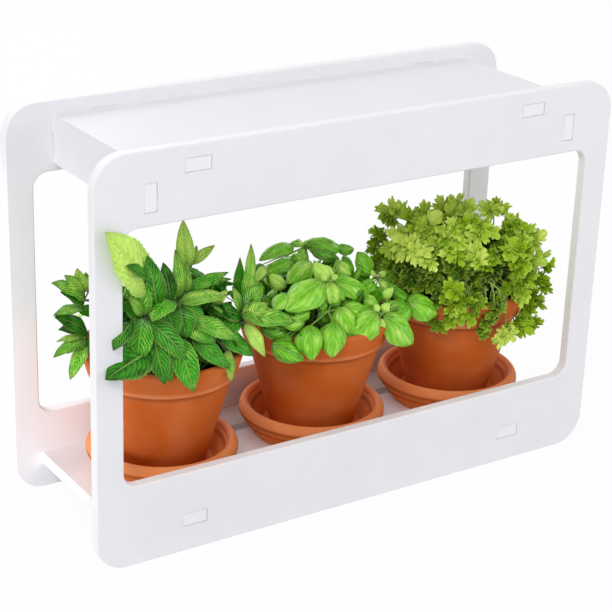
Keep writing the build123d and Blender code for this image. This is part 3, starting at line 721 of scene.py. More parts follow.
def stalk_points(stalks, steps, columns):
    """Rings and ends of stalks, each given as (start, pull, end, radius at start, radius at end).

    The middle line is a quadratic curve: it starts towards pull and ends coming from it.
    """
    start, pull, end = (np.array([s[i] for s in stalks])[:, None] for i in range(3))
    thick = np.array([s[3:5] for s in stalks])
    share = np.linspace(0, 1, steps)[:, None]
    line = start * (1 - share) ** 2 + pull * 2 * share * (1 - share) + end * share ** 2
    forward = unit((pull - start) * (1 - share) + (end - pull) * share + 1e-7)
    aside = unit(np.cross(forward, (0.31, 0.83, 0.02)))
    other = np.cross(forward, aside)
    angle = 2 * np.pi * np.arange(columns) / columns
    radius = thick[:, :1] + (thick[:, 1:] - thick[:, :1]) * share[:, 0]
    circle = aside[:, :, None] * np.cos(angle)[:, None] + other[:, :, None] * np.sin(angle)[:, None]
    rings = line[:, :, None] + circle * radius[..., None, None]
    return rings, np.stack([line[:, 0], line[:, -1]], 1)


# %% [markdown]
# ## Finishes of the plants
#
# A leaf's colour and relief follow its blade, so they read the blade's own UV map: its first number runs
# from base to tip and its second from rim to rim. Side veins leave the midrib and lean towards the tip.
# Each leaf also carries one number, its tone, from old and dark to young and pale. Low tones also stand
# for painted shade, on leaves deep in a plant or in its shade. So one material can dress a whole plant,
# and still no two of its leaves have the same green.

# %% Leaf and stalk finishes
def leaf_finish(name, greens, veins, lean, puff, contrast, cheek_highlight, groove_dark, roughness, coat):
    """A leaf. Its tone picks the green, and the palest, youngest leaves are the smoothest.

    Between two side veins the blade swells: the crests shine and get a painted highlight, and the
    grooves get painted shade. The cheeks, which are the full parts of the blade half way from the midrib
    to the rim, get a painted highlight as well, the heart at the base gets painted shade, and the midrib
    is paler. A leaf without lean is a fan, whose veins run out from its foot.
    """
    dark, fresh, pale = greens
    leaf = Finish(name, Specular_IOR_Level=0.14, Coat_Roughness=0.24)
    blade = leaf.add("ShaderNodeUVMap", {"uv_map": "blade"})
    along = leaf.add("ShaderNodeSeparateXYZ", {}, {0: blade}, output="X")
    place = leaf.add("ShaderNodeSeparateXYZ", {}, {0: blade}, output="Y")
    across = abs(place - 0.5) * 2.0
    tone = leaf.add("ShaderNodeAttribute", {"attribute_name": "tone"}, output="Fac")
    uneven = leaf.noise(0.010, 3.0) - 0.5
    if lean:
        ribs = along * veins - across * (across * 0.4 + 0.6) * lean + uneven * veins * 0.2
        midrib, edge = 1.0 - across.between(0.03, 0.09), across.between(0.7, 1.0)
    else:
        ribs = place * veins
        midrib, edge = 1.0 - along.between(0.0, 0.2), along.between(0.7, 1.0)

    # gap is 1 on a side vein and 0 half way to the next, and the others are 1 on what they are named for
    gap = abs(ribs.part() - 0.5) * 2.0
    groove = gap.between(0.5, 1.0) * (1.0 - midrib)
    crest = 1.0 - gap.between(0.1, 0.9)
    cheeks = 1.0 - abs(across - 0.45).between(0.05, 0.5)
    heart = 1.0 - along.between(0.0, 0.4)

    # The veins are clear in patches, and the palest leaves have a quieter relief
    clear = leaf.noise(0.022, 1.0).between(0.38, 0.62)
    quiet = 1.0 - tone.between(0.74, 0.88) * 0.55

    # The green: the tone picks it, and the crests and the cheeks get a painted highlight. Then come painted
    # shade in the grooves and at the heart, the paler rim, and the veins
    tint = tone + uneven * quiet * 0.7 + (crest - 0.5) * (clear * quiet * contrast) + (cheeks - 0.4) * cheek_highlight
    green = leaf.mix(tint.between(0.45, 1.0), leaf.mix(tint.between(-0.1, 0.55), dark, fresh), pale)
    shaded = leaf.mix(groove * (1.0 - tone) * clear * groove_dark + heart * 0.45, green, dark)
    rimmed = leaf.mix(edge * 0.25, shaded, pale)
    vein = gap.between(0.88, 1.0) * (1.0 - across.between(0.5, 1.0)) * clear * 0.16
    leaf.set(Base_Color=leaf.mix(midrib * 0.30 + vein, rimmed, pale))
    leaf.set(Roughness=roughness + gap * 0.12)
    leaf.set(Coat_Weight=crest * (uneven * 2.0 + 0.7) * coat)

    # The relief: small puckers, finer grain over them, and the quilt on top
    pucker = leaf.relief(leaf.cells(0.0032), puff * 0.9)
    fine = leaf.relief(leaf.noise(0.0016, 2.0), 0.0003, pucker)
    leaf.set(Normal=leaf.relief((1.0 - gap ** 2.2) * (1.0 - midrib) * quiet, puff, fine))
    print(name, "has", len(leaf.tree.nodes), "nodes")
    return leaf


# How many side veins a blade has, and how far they lean
MINT_VEINS, BASIL_VEINS = (9.0, 3.2), (3.6, 2.9)
mint_finish = leaf_finish(
    "mint_leaf", ((0.001, 0.055, 0.003), (0.082, 0.48, 0.018), (0.64, 0.94, 0.16)), *MINT_VEINS,
    puff=0.0009, contrast=0.13, cheek_highlight=0.16, groove_dark=0.18, roughness=0.40, coat=0.50)
basil_finish = leaf_finish(
    "basil_leaf", ((0.008, 0.08, 0.001), (0.19, 0.62, 0.014), (0.62, 0.94, 0.16)), *BASIL_VEINS,
    puff=0.0005, contrast=0.05, cheek_highlight=0.30, groove_dark=0.12, roughness=0.26, coat=1.0)
parsley_finish = leaf_finish(
    "parsley_leaf", ((0.012, 0.07, 0.001), (0.35, 0.58, 0.010), (0.80, 0.94, 0.20)), veins=15.0, lean=0,
    puff=0.0005, contrast=0.10, cheek_highlight=0.0, groove_dark=0.3, roughness=0.42, coat=0.25)
STALK_FOOT, STALK_TOP = 0.13, 0.19


def stalk_finish(name, low, high):
    """A stalk: fine lengthwise threads, darker or redder near the soil."""
    stalk = Finish(name, roughness=0.45)
    thread = stalk.noise(0.0015, 2.0, stretch=(1.0, 1.0, 0.1))
    climb = stalk.axis("Z").between(STALK_FOOT, STALK_TOP)
    stalk.set(Base_Color=stalk.mix(climb * 0.8 + thread * 0.3 - 0.1, low, high))
    stalk.set(Normal=stalk.relief(thread, 0.0002))
    return stalk


mint_stalk = stalk_finish("mint_stalk", (0.045, 0.035, 0.02), (0.11, 0.20, 0.05))
basil_stalk = stalk_finish("basil_stalk", (0.13, 0.26, 0.04), (0.30, 0.52, 0.09))
parsley_stalk = stalk_finish("parsley_stalk", (0.16, 0.30, 0.04), (0.42, 0.56, 0.12))

# %% [markdown]
# ## Potting soil
#
# Potting soil is peat with crumbs of bark. The CAD soil fills each pot with a flat top, so its finish
# gives it a coarse relief, and crumbs lie partly sunk in it. A crumb is a squashed ball with random dents,
# and it has only a few faces, because there are hundreds of them. A relief alone would leave the soil's
# rim a straight line, and crumbs alone would need thousands.

# %% Soil and crumbs
SIDES = ("left", "centre", "right")
POT_X = {side: (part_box("pot_" + side)[0].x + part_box("pot_" + side)[1].x) / 2 for side in SIDES}
RIM_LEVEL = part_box("pot_left")[1].z
SOIL_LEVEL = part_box("soil_left")[1].z
SOIL_RADIUS = (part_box("soil_left")[1].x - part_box("soil_left")[0].x) / 2
CRUMBS_PER_POT, CRUMB_MARGIN = 420, 0.004
rng = np.random.default_rng(11)

peat = Finish("potting_soil", roughness=0.92, Specular_IOR_Level=0.1)
lumps = peat.noise(0.004, 5.0, rough=0.7)
fibres = peat.cells(0.0022, "Color")
peat.set(Base_Color=peat.mix(lumps.between(0.35, 0.65), (0.010, 0.006, 0.004), (0.055, 0.032, 0.018)))
peat.set(Normal=peat.relief(lumps, 0.002, peat.relief(fibres, 0.0005)))
dress(peat, "soil_left", "soil_centre", "soil_right")


def crumbs(side, number, rings=3, columns=6):
    """Crumbs on the soil of one pot.

    Each is a ball whose rings lie at equal angles between its poles. Its three half axes are random,
    and every point is pushed in or out by up to a quarter. Places are even over the disc: the reach
    from the pot's axis is a square root of a random share.
    """
    reach = (SOIL_RADIUS - CRUMB_MARGIN) * np.sqrt(rng.uniform(0, 1, number))
    around = rng.uniform(0, 2 * np.pi, number)
    size = rng.uniform(0.0010, 0.0030, number)
    level = SOIL_LEVEL + size * 0.2
    middle = np.stack([POT_X[side] + reach * np.cos(around), reach * np.sin(around), level], -1)
    half_axes = size[:, None] * rng.uniform(0.6, 1.3, (number, 3)) * (1.0, 1.0, 0.7)
    polar = np.pi * np.arange(1, rings + 1) / (rings + 1)
    turn = 2 * np.pi * np.arange(columns) / columns
    ball = np.stack(np.broadcast_arrays(
        np.sin(polar)[:, None] * np.cos(turn), np.sin(polar)[:, None] * np.sin(turn),
        -np.cos(polar)[:, None]), -1)
    dented = ball * rng.uniform(0.75, 1.25, (number, rings, columns, 1))
    points = middle[:, None, None] + dented * half_axes[:, None, None]
    poles = middle[:, None] + half_axes[:, None] * np.array(((0, 0, -1.0), (0, 0, 1.0)))
    skins(f"soil_crumbs_{side}", points, poles, peat, f"pot_{side}", "potting_soil", sharp=30.0)


for side in SIDES:
    crumbs(side, CRUMBS_PER_POT)

# %% [markdown]
# ## Leaves where the picture shows them
#
# The leaves that make the picture are placed one by one: each row of a table says where a leaf's base and tip
# lie in the picture, how deep both are and how wide it is in millimetres, its tone, its bend and its
# roll. The leaves of one spray share a heart, and a stalk joins that to the soil. Scattering them by
# chance would be less work, but a plant is known by its largest leaves, and those have to be in their
# places.

# %% Places that the plants share
TO_CAMERA = np.array(-camera_forward)
UPWARD = np.array((0.0, 0.0, 1.0))
MILLIMETRE = 0.001
ROOT_LEVEL = SOIL_LEVEL - 0.004
ROOT_SHARE, ROOT_REACH = 0.35, 0.034
# Radii of stalks at their start and end
SPRAY_STALK, LEAF_STALK, SPRIG_STALK = (0.0014, 0.0010), (0.0007, 0.0006), (0.0016, 0.0008)


def pot_point(side, reach, azimuth, level):
    """A point at a distance and direction from a pot's axis, in metres and degrees."""
    turn = math.radians(azimuth)
    return np.array((POT_X[side] + reach * math.cos(turn), reach * math.sin(turn), level))


def stalk_from_soil(side, end, radii):
    """A stalk that rises to a point, from a share of the way out to it from the pot's axis.

    It starts no further out than ROOT_REACH. Its pull lies nearly above its start, so it rises upright.
    """
    axis = np.array((POT_X[side], 0.0, ROOT_LEVEL))
    away = (end - axis) * (1, 1, 0)
    start = axis + away * ROOT_SHARE / max(1.0, np.linalg.norm(away) * ROOT_SHARE / ROOT_REACH)
    pull = start + away * 0.15 + UPWARD * (end[2] - start[2]) * 0.9
    return (start, pull, end, *radii)


def facing_out(side, point):
    """Which way a leaf looks: up, away from the pot's axis, and mostly at the camera."""
    away = unit(point - np.array((POT_X[side], 0.0, RIM_LEVEL - 0.02)))
    return away * 0.6 + UPWARD * 0.5 + TO_CAMERA * 0.8


def picture_leaves(side, sprays, leaves_of, stalks, plump=1.0, fold=0.25):
    """Set the leaves of each spray as the picture shows them, with a stalk from the soil to its heart."""
    for heart_x, heart_y, heart_depth, rows in sprays.values():
        heart = on_sight((heart_x, heart_y), heart_depth * MILLIMETRE)
        stalks.append(stalk_from_soil(side, heart, SPRAY_STALK))
        for x0, y0, x1, y1, depth0, depth1, width, tone, bend, turn in rows:
            base, tip = on_sight((x0, y0), depth0 * MILLIMETRE), on_sight((x1, y1), depth1 * MILLIMETRE)
            kind = leaves_of(min(base[1], tip[1]))
            facing = facing_out(side, (base + tip) / 2)
            kind.add(base, tip, width * plump * MILLIMETRE, tone, facing, bend, turn, fold)
            stalks.append((heart, (heart + base) / 2, base + (tip - base) * 0.06, *LEAF_STALK))
    print(side, "pot:", len(stalks) - len(sprays), "leaves of the picture")


# %% [markdown]
# ## Mint
#
# Mint leaves stand in pairs on square stems, and each pair is turned a quarter from the one below. They
# are long ovals with saw teeth, quilted between the veins. The quilt is left to the finish here, because
# a mesh fine enough for so many folds would be heavy.

# %% Mint leaves of the picture
mint_blade = {"outline": oval(0.62, 0.95), "thickness": 0.0007, "curl": 0.22, "ripple": 0.09,
              "quilt": (*MINT_VEINS, 0.0)}
mint = Leaves(rows=39, columns=18, teeth=13, bite=0.09, **mint_blade)
mint_front = Leaves(rows=39, columns=18, teeth=13, bite=0.09, **mint_blade)
mint_fill = Leaves(rows=8, columns=8, **mint_blade)
mint_stalks = []
mint_sprays = {
    "front": (145, 316, -58, (
        (151, 291, 105, 232, -74, -90, 37, 0.89, 0.25, 0),
        (157, 308, 147, 255, -70, -83, 20, 0.22, 0.30, 12),
        (144, 315, 139, 269, -70, -77, 17, 0.46, 0.30, -14),
        (143, 315, 128, 296, -70, -76, 10, 0.60, 0.25, 0),
        (142, 313, 123, 272, -66, -68, 14, 0.55, 0.30, 20),
        (141, 315, 120, 305, -64, -66, 15, 0.25, 0.30, 0),
        (143, 318, 137, 366, -72, -78, 21, 0.42, 0.55, 0),
        (149, 322, 187, 360, -70, -76, 21, 0.26, 0.60, -10),
        (151, 328, 165, 385, -69, -75, 20, 0.24, 0.50, 0),
        (176, 338, 194, 392, -67, -74, 23, 0.40, 0.55, 0),
        (156, 345, 171, 382, -66, -71, 18, 0.30, 0.45, 10),
        (150, 352, 105, 380, -77, -90, 31, 0.14, 0.35, 0),
        (132, 322, 113, 351, -79, -89, 16, 0.12, 0.35, 10),
        (148, 276, 126, 266, -84, -90, 12, 0.22, 0.3, 0),
    )),
    "curl": (172, 305, -58, (
        (170, 300, 152, 322, -68, -78, 22, 0.58, 1.5, 10),
        (168, 312, 176, 338, -62, -70, 18, 0.30, 0.6, 0),
    )),
    "middle": (180, 300, -38, (
        (187, 268, 183, 219, -34, -40, 15, 0.82, 0.25, -20),
        (193, 262, 197, 245, -33, -34, 6, 0.75, 0.25, 0),
        (190, 264, 215, 245, -32, -34, 9, 0.80, 0.3, 20),
        (180, 297, 175, 249, -42, -50, 13, 0.60, 0.3, 20),
        (186, 292, 187, 262, -38, -42, 10, 0.70, 0.3, -20),
        (171, 300, 163, 262, -44, -48, 15, 0.10, 0.4, 0),
        (186, 291, 229, 272, -36, -34, 12, 0.52, 0.35, 0),
        (188, 270, 208, 278, -26, -24, 8, 0.40, 0.3, 0),
        (180, 303, 228, 295, -48, -48, 16, 0.68, 0.5, -12),
        (182, 306, 205, 318, -50, -56, 16, 0.30, 0.5, 0),
        (180, 308, 187, 338, -54, -64, 23, 0.28, 0.6, 10),
        (190, 320, 239, 340, -58, -64, 18, 0.60, 0.5, -8),
        (184, 322, 216, 342, -57, -66, 18, 0.52, 0.5, 8),
        (192, 338, 230, 369, -58, -68, 17, 0.36, 0.5, 0),
        (227, 350, 231, 382, -58, -66, 10, 0.72, 0.5, 0),
        (196, 284, 232, 279, -25, -20, 9, 0.5, 0.3, 0),
    )),
    "right": (243, 318, -38, (
        (245, 302, 251, 243, -24, -30, 14, 0.70, 0.3, 10),
        (236, 300, 240, 257, -20, -24, 11, 0.38, 0.3, 0),
        (241, 313, 232, 286, -36, -38, 11, 0.62, 0.3, 0),
        (243, 306, 263, 285, -34, -32, 17, 0.52, 0.4, 0),
        (242, 317, 296, 321, -46, -52, 19, 0.60, 0.5, 0),
        (243, 318, 268, 303, -44, -46, 16, 0.72, 0.4, 0),
        (245, 324, 265, 357, -50, -60, 15, 0.85, 0.5, 0),
        (217, 332, 254, 356, -48, -58, 19, 0.32, 0.5, 0),
        (241, 316, 209, 309, -40, -42, 18, 0.20, 0.4, 0),
        (238, 320, 222, 334, -44, -50, 15, 0.25, 0.4, 0),
        (238, 300, 227, 292, -30, -32, 10, 0.20, 0.4, 0),
    )),
    "left_high": (84, 300, 12, (
        (85, 297, 51, 283, 6, 0, 17, 0.62, 0.4, 0),
        (84, 304, 60, 292, 4, -2, 15, 0.32, 0.4, 0),
        (83, 295, 64, 275, 8, 4, 14, 0.72, 0.4, 0),
        (85, 292, 77, 268, 10, 8, 13, 0.78, 0.4, 0),
        (89, 292, 86, 272, 12, 10, 12, 0.5, 0.4, 0),
        (84, 307, 53, 316, 6, 0, 12, 0.60, 0.5, 0),
        (92, 300, 100, 280, 10, 6, 14, 0.4, 0.4, 0),
    )),
    "left_low": (87, 334, 12, (
        (88, 333, 54, 317, 6, -2, 19, 0.14, 0.5, 0),
        (87, 332, 58, 330, 8, 2, 14, 0.20, 0.5, 0),
        (85, 336, 56, 342, 5, -2, 8, 0.85, 0.4, 0),
        (83, 338, 53, 358, 2, -4, 12, 0.60, 0.5, 0),
        (86, 345, 70, 380, 2, -4, 14, 0.60, 0.5, 0),
        (86, 340, 66, 354, 6, 2, 10, 0.72, 0.4, 0),
        (92, 335, 100, 360, 4, -2, 16, 0.4, 0.5, 0),
    )),
}
# Leaves that come nearer than this reach into or through the front window, and make their own piece
OUT_OF_WINDOW = -0.0725
picture_leaves("left", mint_sprays, lambda y: mint_front if y < OUT_OF_WINDOW else mint, mint_stalks)


# %% [markdown]
# ## The mint's other side
#
# The picture shows only one side of the plant. Behind it, sprigs grow by a rule: rings of stems around
# the pot, with pairs of leaves that are smaller towards the tip. Their blades have few faces, because
# they are mostly seen between others. The first two rings leave an angle on the camera's side free, and a
# skyline keeps all of them under the plant's outline, so that they fill it without changing its shape.

# %% Sprigs
CAMERA_AZIMUTH = math.degrees(math.atan2(TO_CAMERA[1], TO_CAMERA[0]))
LEAF_ROOM = (-0.064, 0.066)
print("the camera stands at", round(CAMERA_AZIMUTH), "degrees")


def in_picture(point):
    """The pixel of the picture that a point falls on."""
    sight = point - np.array(camera_place)
    depth = sight @ np.array(camera_forward)
    return (AXIS_PIXEL[0] + FOCAL_PIXELS * (sight @ np.array(camera_right)) / depth,
            AXIS_PIXEL[1] - FOCAL_PIXELS * (sight @ np.array(camera_up)) / depth)


def under_skyline(point, skyline):
    """True where a point stays under a plant's upper outline in the picture, given as x and y pixels."""
    x, y = in_picture(point)
    return y > np.interp(x, skyline[0], skyline[1])


def sprig(side, stalks, kind, tip, tones, first_turn, pairs, longest, width_share, droop, skyline):
    """A stem from the soil to a tip, with pairs of leaves that grow smaller towards it.

    Pair 0 is the youngest, at the tip, and the others sit down the stem's curve at equal steps of its
    share. Each pair is turned by a quarter from the last, and spreads and droops more.
    """
    if not under_skyline(tip, skyline):
        return
    stalk = stalk_from_soil(side, tip, SPRIG_STALK)
    stalks.append(stalk)
    start, pull, end = stalk[:3]
    stem = unit(end - pull)
    first = unit(np.cross(stem, (0.2, 0.1, 1.0)) + 1e-6)
    second = np.cross(stem, first)
    for pair in range(pairs):
        share = 1.0 - pair / (pairs + 1.2) * 0.75
        place = start * (1 - share) ** 2 + pull * 2 * share * (1 - share) + end * share ** 2
        if place[2] < RIM_LEVEL + 0.004:
            continue
        angle = math.radians(first_turn + 90 * pair + rng.uniform(-15, 15))
        for sign in (-1, 1):
            out = (first * math.cos(angle) + second * math.sin(angle)) * sign
            way = unit(out + stem * (0.9 - 0.25 * pair) + UPWARD * (0.25 - droop * pair))
            size = longest * min(1.0, 0.5 + 0.22 * pair) * rng.uniform(0.85, 1.1)
            leaf_tip = place + way * size
            leaf_tip[1] = np.clip(leaf_tip[1], *LEAF_ROOM)
            tone = rng.uniform(*tones) + 0.25 * (pair == 0)
            if under_skyline(leaf_tip, skyline):
                kind.add(place, leaf_tip, size * width_share, tone, stem + UPWARD * 0.6 + out * 0.2,
                         rng.uniform(0.3, 0.8), rng.uniform(-15, 15))


def away_from_camera(azimuth, half_angle):
    """True where a direction from the pot's axis is further than an angle from the camera's."""
    return abs((azimuth - CAMERA_AZIMUTH + 180) % 360 - 180) > half_angle


def undergrowth(side, rings, stalks, kind, **habit):
    """Rings of sprigs around a pot, each sprig with the plant's own habit.

    A ring has a number, a reach, a height over the rim, the angle on the camera's side that it leaves
    free, and its tones.
    """
    for turn, (number, reach, height, hidden, tones) in enumerate(rings):
        for step in range(number):
            azimuth = 360 * step / number + rng.uniform(-10, 10) + 17 * turn
            level = RIM_LEVEL + height * rng.uniform(0.8, 1.2)
            tip = pot_point(side, reach * rng.uniform(0.9, 1.1), azimuth, level)
            if away_from_camera(azimuth, hidden):
                sprig(side, stalks, kind, tip, tones, rng.uniform(0, 90), **habit)


# %% Mint pieces
mint_skyline = ((40, 60, 90, 124, 150, 180, 205, 232, 245, 262, 300),
                (320, 295, 285, 280, 268, 262, 268, 282, 262, 285, 320))
# The last, low ring gets the darkest tones, as painted shade low in the plant
mint_rings = ((13, 0.066, 0.022, 80, (0.2, 0.6)), (9, 0.044, 0.040, 55, (0.2, 0.6)),
              (5, 0.018, 0.052, -1, (0.1, 0.5)), (10, 0.046, 0.014, -1, (0.0, 0.25)))
undergrowth("left", mint_rings, mint_stalks, mint_fill,
            pairs=4, longest=0.040, width_share=0.5, droop=0.22, skyline=mint_skyline)
mint_piece = mint.piece("mint_foliage", mint_finish, "pot_left", "mint_leaf")
mint_fill.piece("mint_fill_foliage", mint_finish, "pot_left", "mint_leaf")
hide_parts("mint_leaves")

# The leaves that reach into the window are not laid behind the panel, and get a mesh of their own
mint_front_piece = mint_front.piece(
    "mint_front_foliage", mint_finish, "pot_left", "mint_leaf", behind_panel=False)
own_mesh(mint_front_piece)
mint_stalk_piece = skins(
    "mint_shoots", *stalk_points(mint_stalks, 10, 6), mint_stalk, "pot_left", "plant_stem", sharp=80.0)
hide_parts("mint_stems")

# %% [markdown]
# ## Basil
#
# Basil leaves are broad, smooth and glossy, and they bulge upward like upturned spoons. Each young spray
# ends in a few tiny pale leaves. The mint's blade makes them too, with a rounder outline, no teeth and
# much more curl. Their few side veins are far apart, so here the mesh itself swells between them.

# %% Basil leaves of the picture
basil_blade = {"outline": oval(0.5, 0.72), "thickness": 0.0009, "curl": 0.85, "ripple": 0.05}
basil = Leaves(rows=24, columns=26, quilt=(*BASIL_VEINS, 0.10), **basil_blade)
basil_fill = Leaves(rows=6, columns=8, quilt=(*BASIL_VEINS, 0.0), **basil_blade)
basil_stalks = []
basil_sprays = {
    "back": (305, 247, 24, (
        (293, 246, 259, 261, 20, 12, 14, 0.50, 1.1, 0),
        (303, 243, 290, 244, 24, 22, 8, 0.60, 0.6, 0),
        (306, 246, 341, 248, 20, 16, 22, 0.42, 0.9, 0),
        (311, 251, 340, 260, 10, 6, 14, 0.22, 0.7, 0),
        (336, 249, 354, 249, 18, 16, 13, 0.40, 0.7, 0),
        (293, 261, 263, 274, 8, 2, 13, 0.38, 0.8, 0),
        (291, 259, 308, 256, 10, 10, 11, 0.55, 0.6, 0),
        (303, 246, 297, 239, 24, 22, 7, 0.95, 0.5, 0),
        (304, 246, 309, 240, 24, 24, 7, 0.95, 0.5, 0),
        (303, 249, 300, 256, 20, 16, 7, 0.85, 0.5, 0),
        (310, 261, 288, 284, 2, -10, 19, 0.58, 0.9, 10),
        (262, 264, 252, 281, 6, 0, 15, 0.08, 0.6, 0),
        (265, 266, 255, 282, 2, -4, 8, 0.90, 0.7, 0),
        (286, 287, 269, 275, -8, -4, 12, 0.85, 0.4, 0),
    )),
    "middle": (330, 281, -28, (
        (323, 282, 286, 311, -32, -48, 26, 0.54, 0.9, 0),
        (334, 281, 370, 297, -30, -34, 19, 0.50, 1.0, 0),
        (329, 282, 333, 307, -34, -44, 16, 0.72, 0.9, 0),
        (329, 280, 313, 263, -26, -18, 14, 0.85, 0.9, 0),
        (331, 280, 326, 265, -24, -20, 9, 0.90, 0.6, 0),
        (288, 294, 274, 310, -34, -44, 14, 0.50, 0.8, 0),
        (327, 281, 321, 274, -30, -28, 6, 0.95, 0.5, 0),
        (332, 281, 337, 274, -28, -28, 6, 0.95, 0.5, 0),
        (335, 262, 351, 275, -8, -12, 15, 0.72, 0.6, 0),
        (342, 257, 354, 272, -4, -8, 13, 0.20, 0.6, 0),
        (335, 290, 345, 300, -36, -40, 10, 0.45, 0.6, 0),
    )),
    "right": (378, 277, -6, (
        (371, 275, 357, 252, -4, 4, 22, 0.42, 1.0, 0),
        (383, 280, 413, 301, -10, -20, 19, 0.52, 1.0, 0),
        (384, 276, 410, 283, -4, -10, 13, 0.46, 0.8, 0),
        (376, 277, 371, 270, -8, -6, 6, 0.95, 0.5, 0),
        (380, 277, 386, 271, -8, -8, 6, 0.95, 0.5, 0),
        (379, 279, 389, 292, -16, -22, 8, 0.80, 0.6, 0),
        (374, 282, 366, 300, -20, -28, 11, 0.40, 0.7, 0),
        (376, 286, 380, 303, -24, -32, 12, 0.25, 0.7, 0),
    )),
    "front_right": (381, 314, -52, (
        (376, 312, 352, 341, -56, -63, 24, 0.52, 0.9, 0),
        (384, 316, 413, 344, -54, -60, 26, 0.50, 0.9, 0),
        (379, 312, 375, 304, -52, -50, 7, 0.95, 0.5, 0),
        (383, 312, 389, 303, -50, -48, 8, 0.92, 0.5, 0),
        (409, 304, 396, 320, -44, -50, 15, 0.35, 0.7, 0),
        (364, 297, 379, 307, -40, -44, 13, 0.50, 0.7, 0),
        (379, 318, 382, 333, -55, -60, 11, 0.70, 0.7, 0),
        (408, 301, 438, 313, -40, -46, 25, 0.48, 0.9, 0),
        (386, 310, 400, 302, -44, -40, 11, 0.45, 0.6, 0),
        (388, 322, 394, 340, -52, -58, 12, 0.18, 0.6, 0),
        (396, 299, 409, 321, -40, -46, 15, 0.30, 0.7, 0),
        (392, 290, 410, 301, -30, -34, 13, 0.22, 0.7, 0),
    )),
    "front": (328, 312, -48, (
        (338, 308, 352, 334, -54, -63, 21, 0.56, 0.9, 0),
        (343, 309, 369, 311, -46, -46, 15, 0.50, 0.8, 0),
        (333, 322, 332, 358, -62, -69, 21, 0.50, 0.9, 0),
        (309, 325, 312, 361, -60, -68, 18, 0.48, 0.9, 0),
        (345, 330, 357, 345, -60, -64, 15, 0.28, 0.7, 0),
        (300, 333, 301, 352, -58, -64, 9, 0.40, 0.7, 0),
        (318, 313, 332, 321, -46, -48, 13, 0.12, 0.6, 0),
        (326, 310, 318, 301, -46, -42, 10, 0.30, 0.6, 0),
        (330, 306, 340, 296, -44, -40, 10, 0.25, 0.6, 0),
    )),
    "front_left": (302, 324, -46, (
        (272, 344, 304, 360, -54, -62, 17, 0.26, 0.8, 0),
        (288, 331, 260, 327, -46, -44, 18, 0.12, 0.6, 0),
        (292, 336, 273, 346, -50, -50, 10, 0.30, 0.6, 0),
        (305, 321, 281, 325, -50, -48, 12, 0.50, 0.7, 0),
        (309, 310, 295, 318, -48, -48, 11, 0.45, 0.6, 0),
        (298, 322, 286, 311, -44, -38, 11, 0.25, 0.6, 0),
    )),
}
picture_leaves("centre", basil_sprays, lambda y: basil, basil_stalks, plump=1.3, fold=0.5)

# %% Basil pieces
basil_skyline = ((245, 262, 285, 330, 352, 380, 410, 440), (275, 264, 254, 248, 254, 262, 284, 305))
# The last, low ring gets the darkest tones, as painted shade low in the plant
basil_rings = ((12, 0.060, 0.010, 70, (0.3, 0.6)), (8, 0.038, 0.026, 60, (0.3, 0.6)),
               (4, 0.016, 0.030, -1, (0.1, 0.5)), (9, 0.044, 0.010, -1, (0.0, 0.3)))
undergrowth("centre", basil_rings, basil_stalks, basil_fill,
            pairs=3, longest=0.030, width_share=0.75, droop=0.15, skyline=basil_skyline)
basil_piece = basil.piece("basil_foliage", basil_finish, "pot_centre", "basil_leaf")
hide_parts("basil_leaves")
basil_fill.piece("basil_fill_foliage", basil_finish, "pot_centre", "basil_leaf")
basil_stalk_piece = skins(
    "basil_shoots", *stalk_points(basil_stalks, 10, 6), basil_stalk, "pot_centre", "plant_stem", sharp=80.0)
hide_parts("basil_stems")

# %% [markdown]
# ## Parsley
#
# A parsley leaf is a small fan: lobes with rounded teeth around a middle, frilled like a ruff. The blade
# of the other plants runs from rim to rim across a midrib, and can't be cut so deep. So a fan is a closed
# sheet of another kind, made of rings about its middle: out over the top to the rim, and back under.

# %% Fans
HALF_SHEET = 0.0003


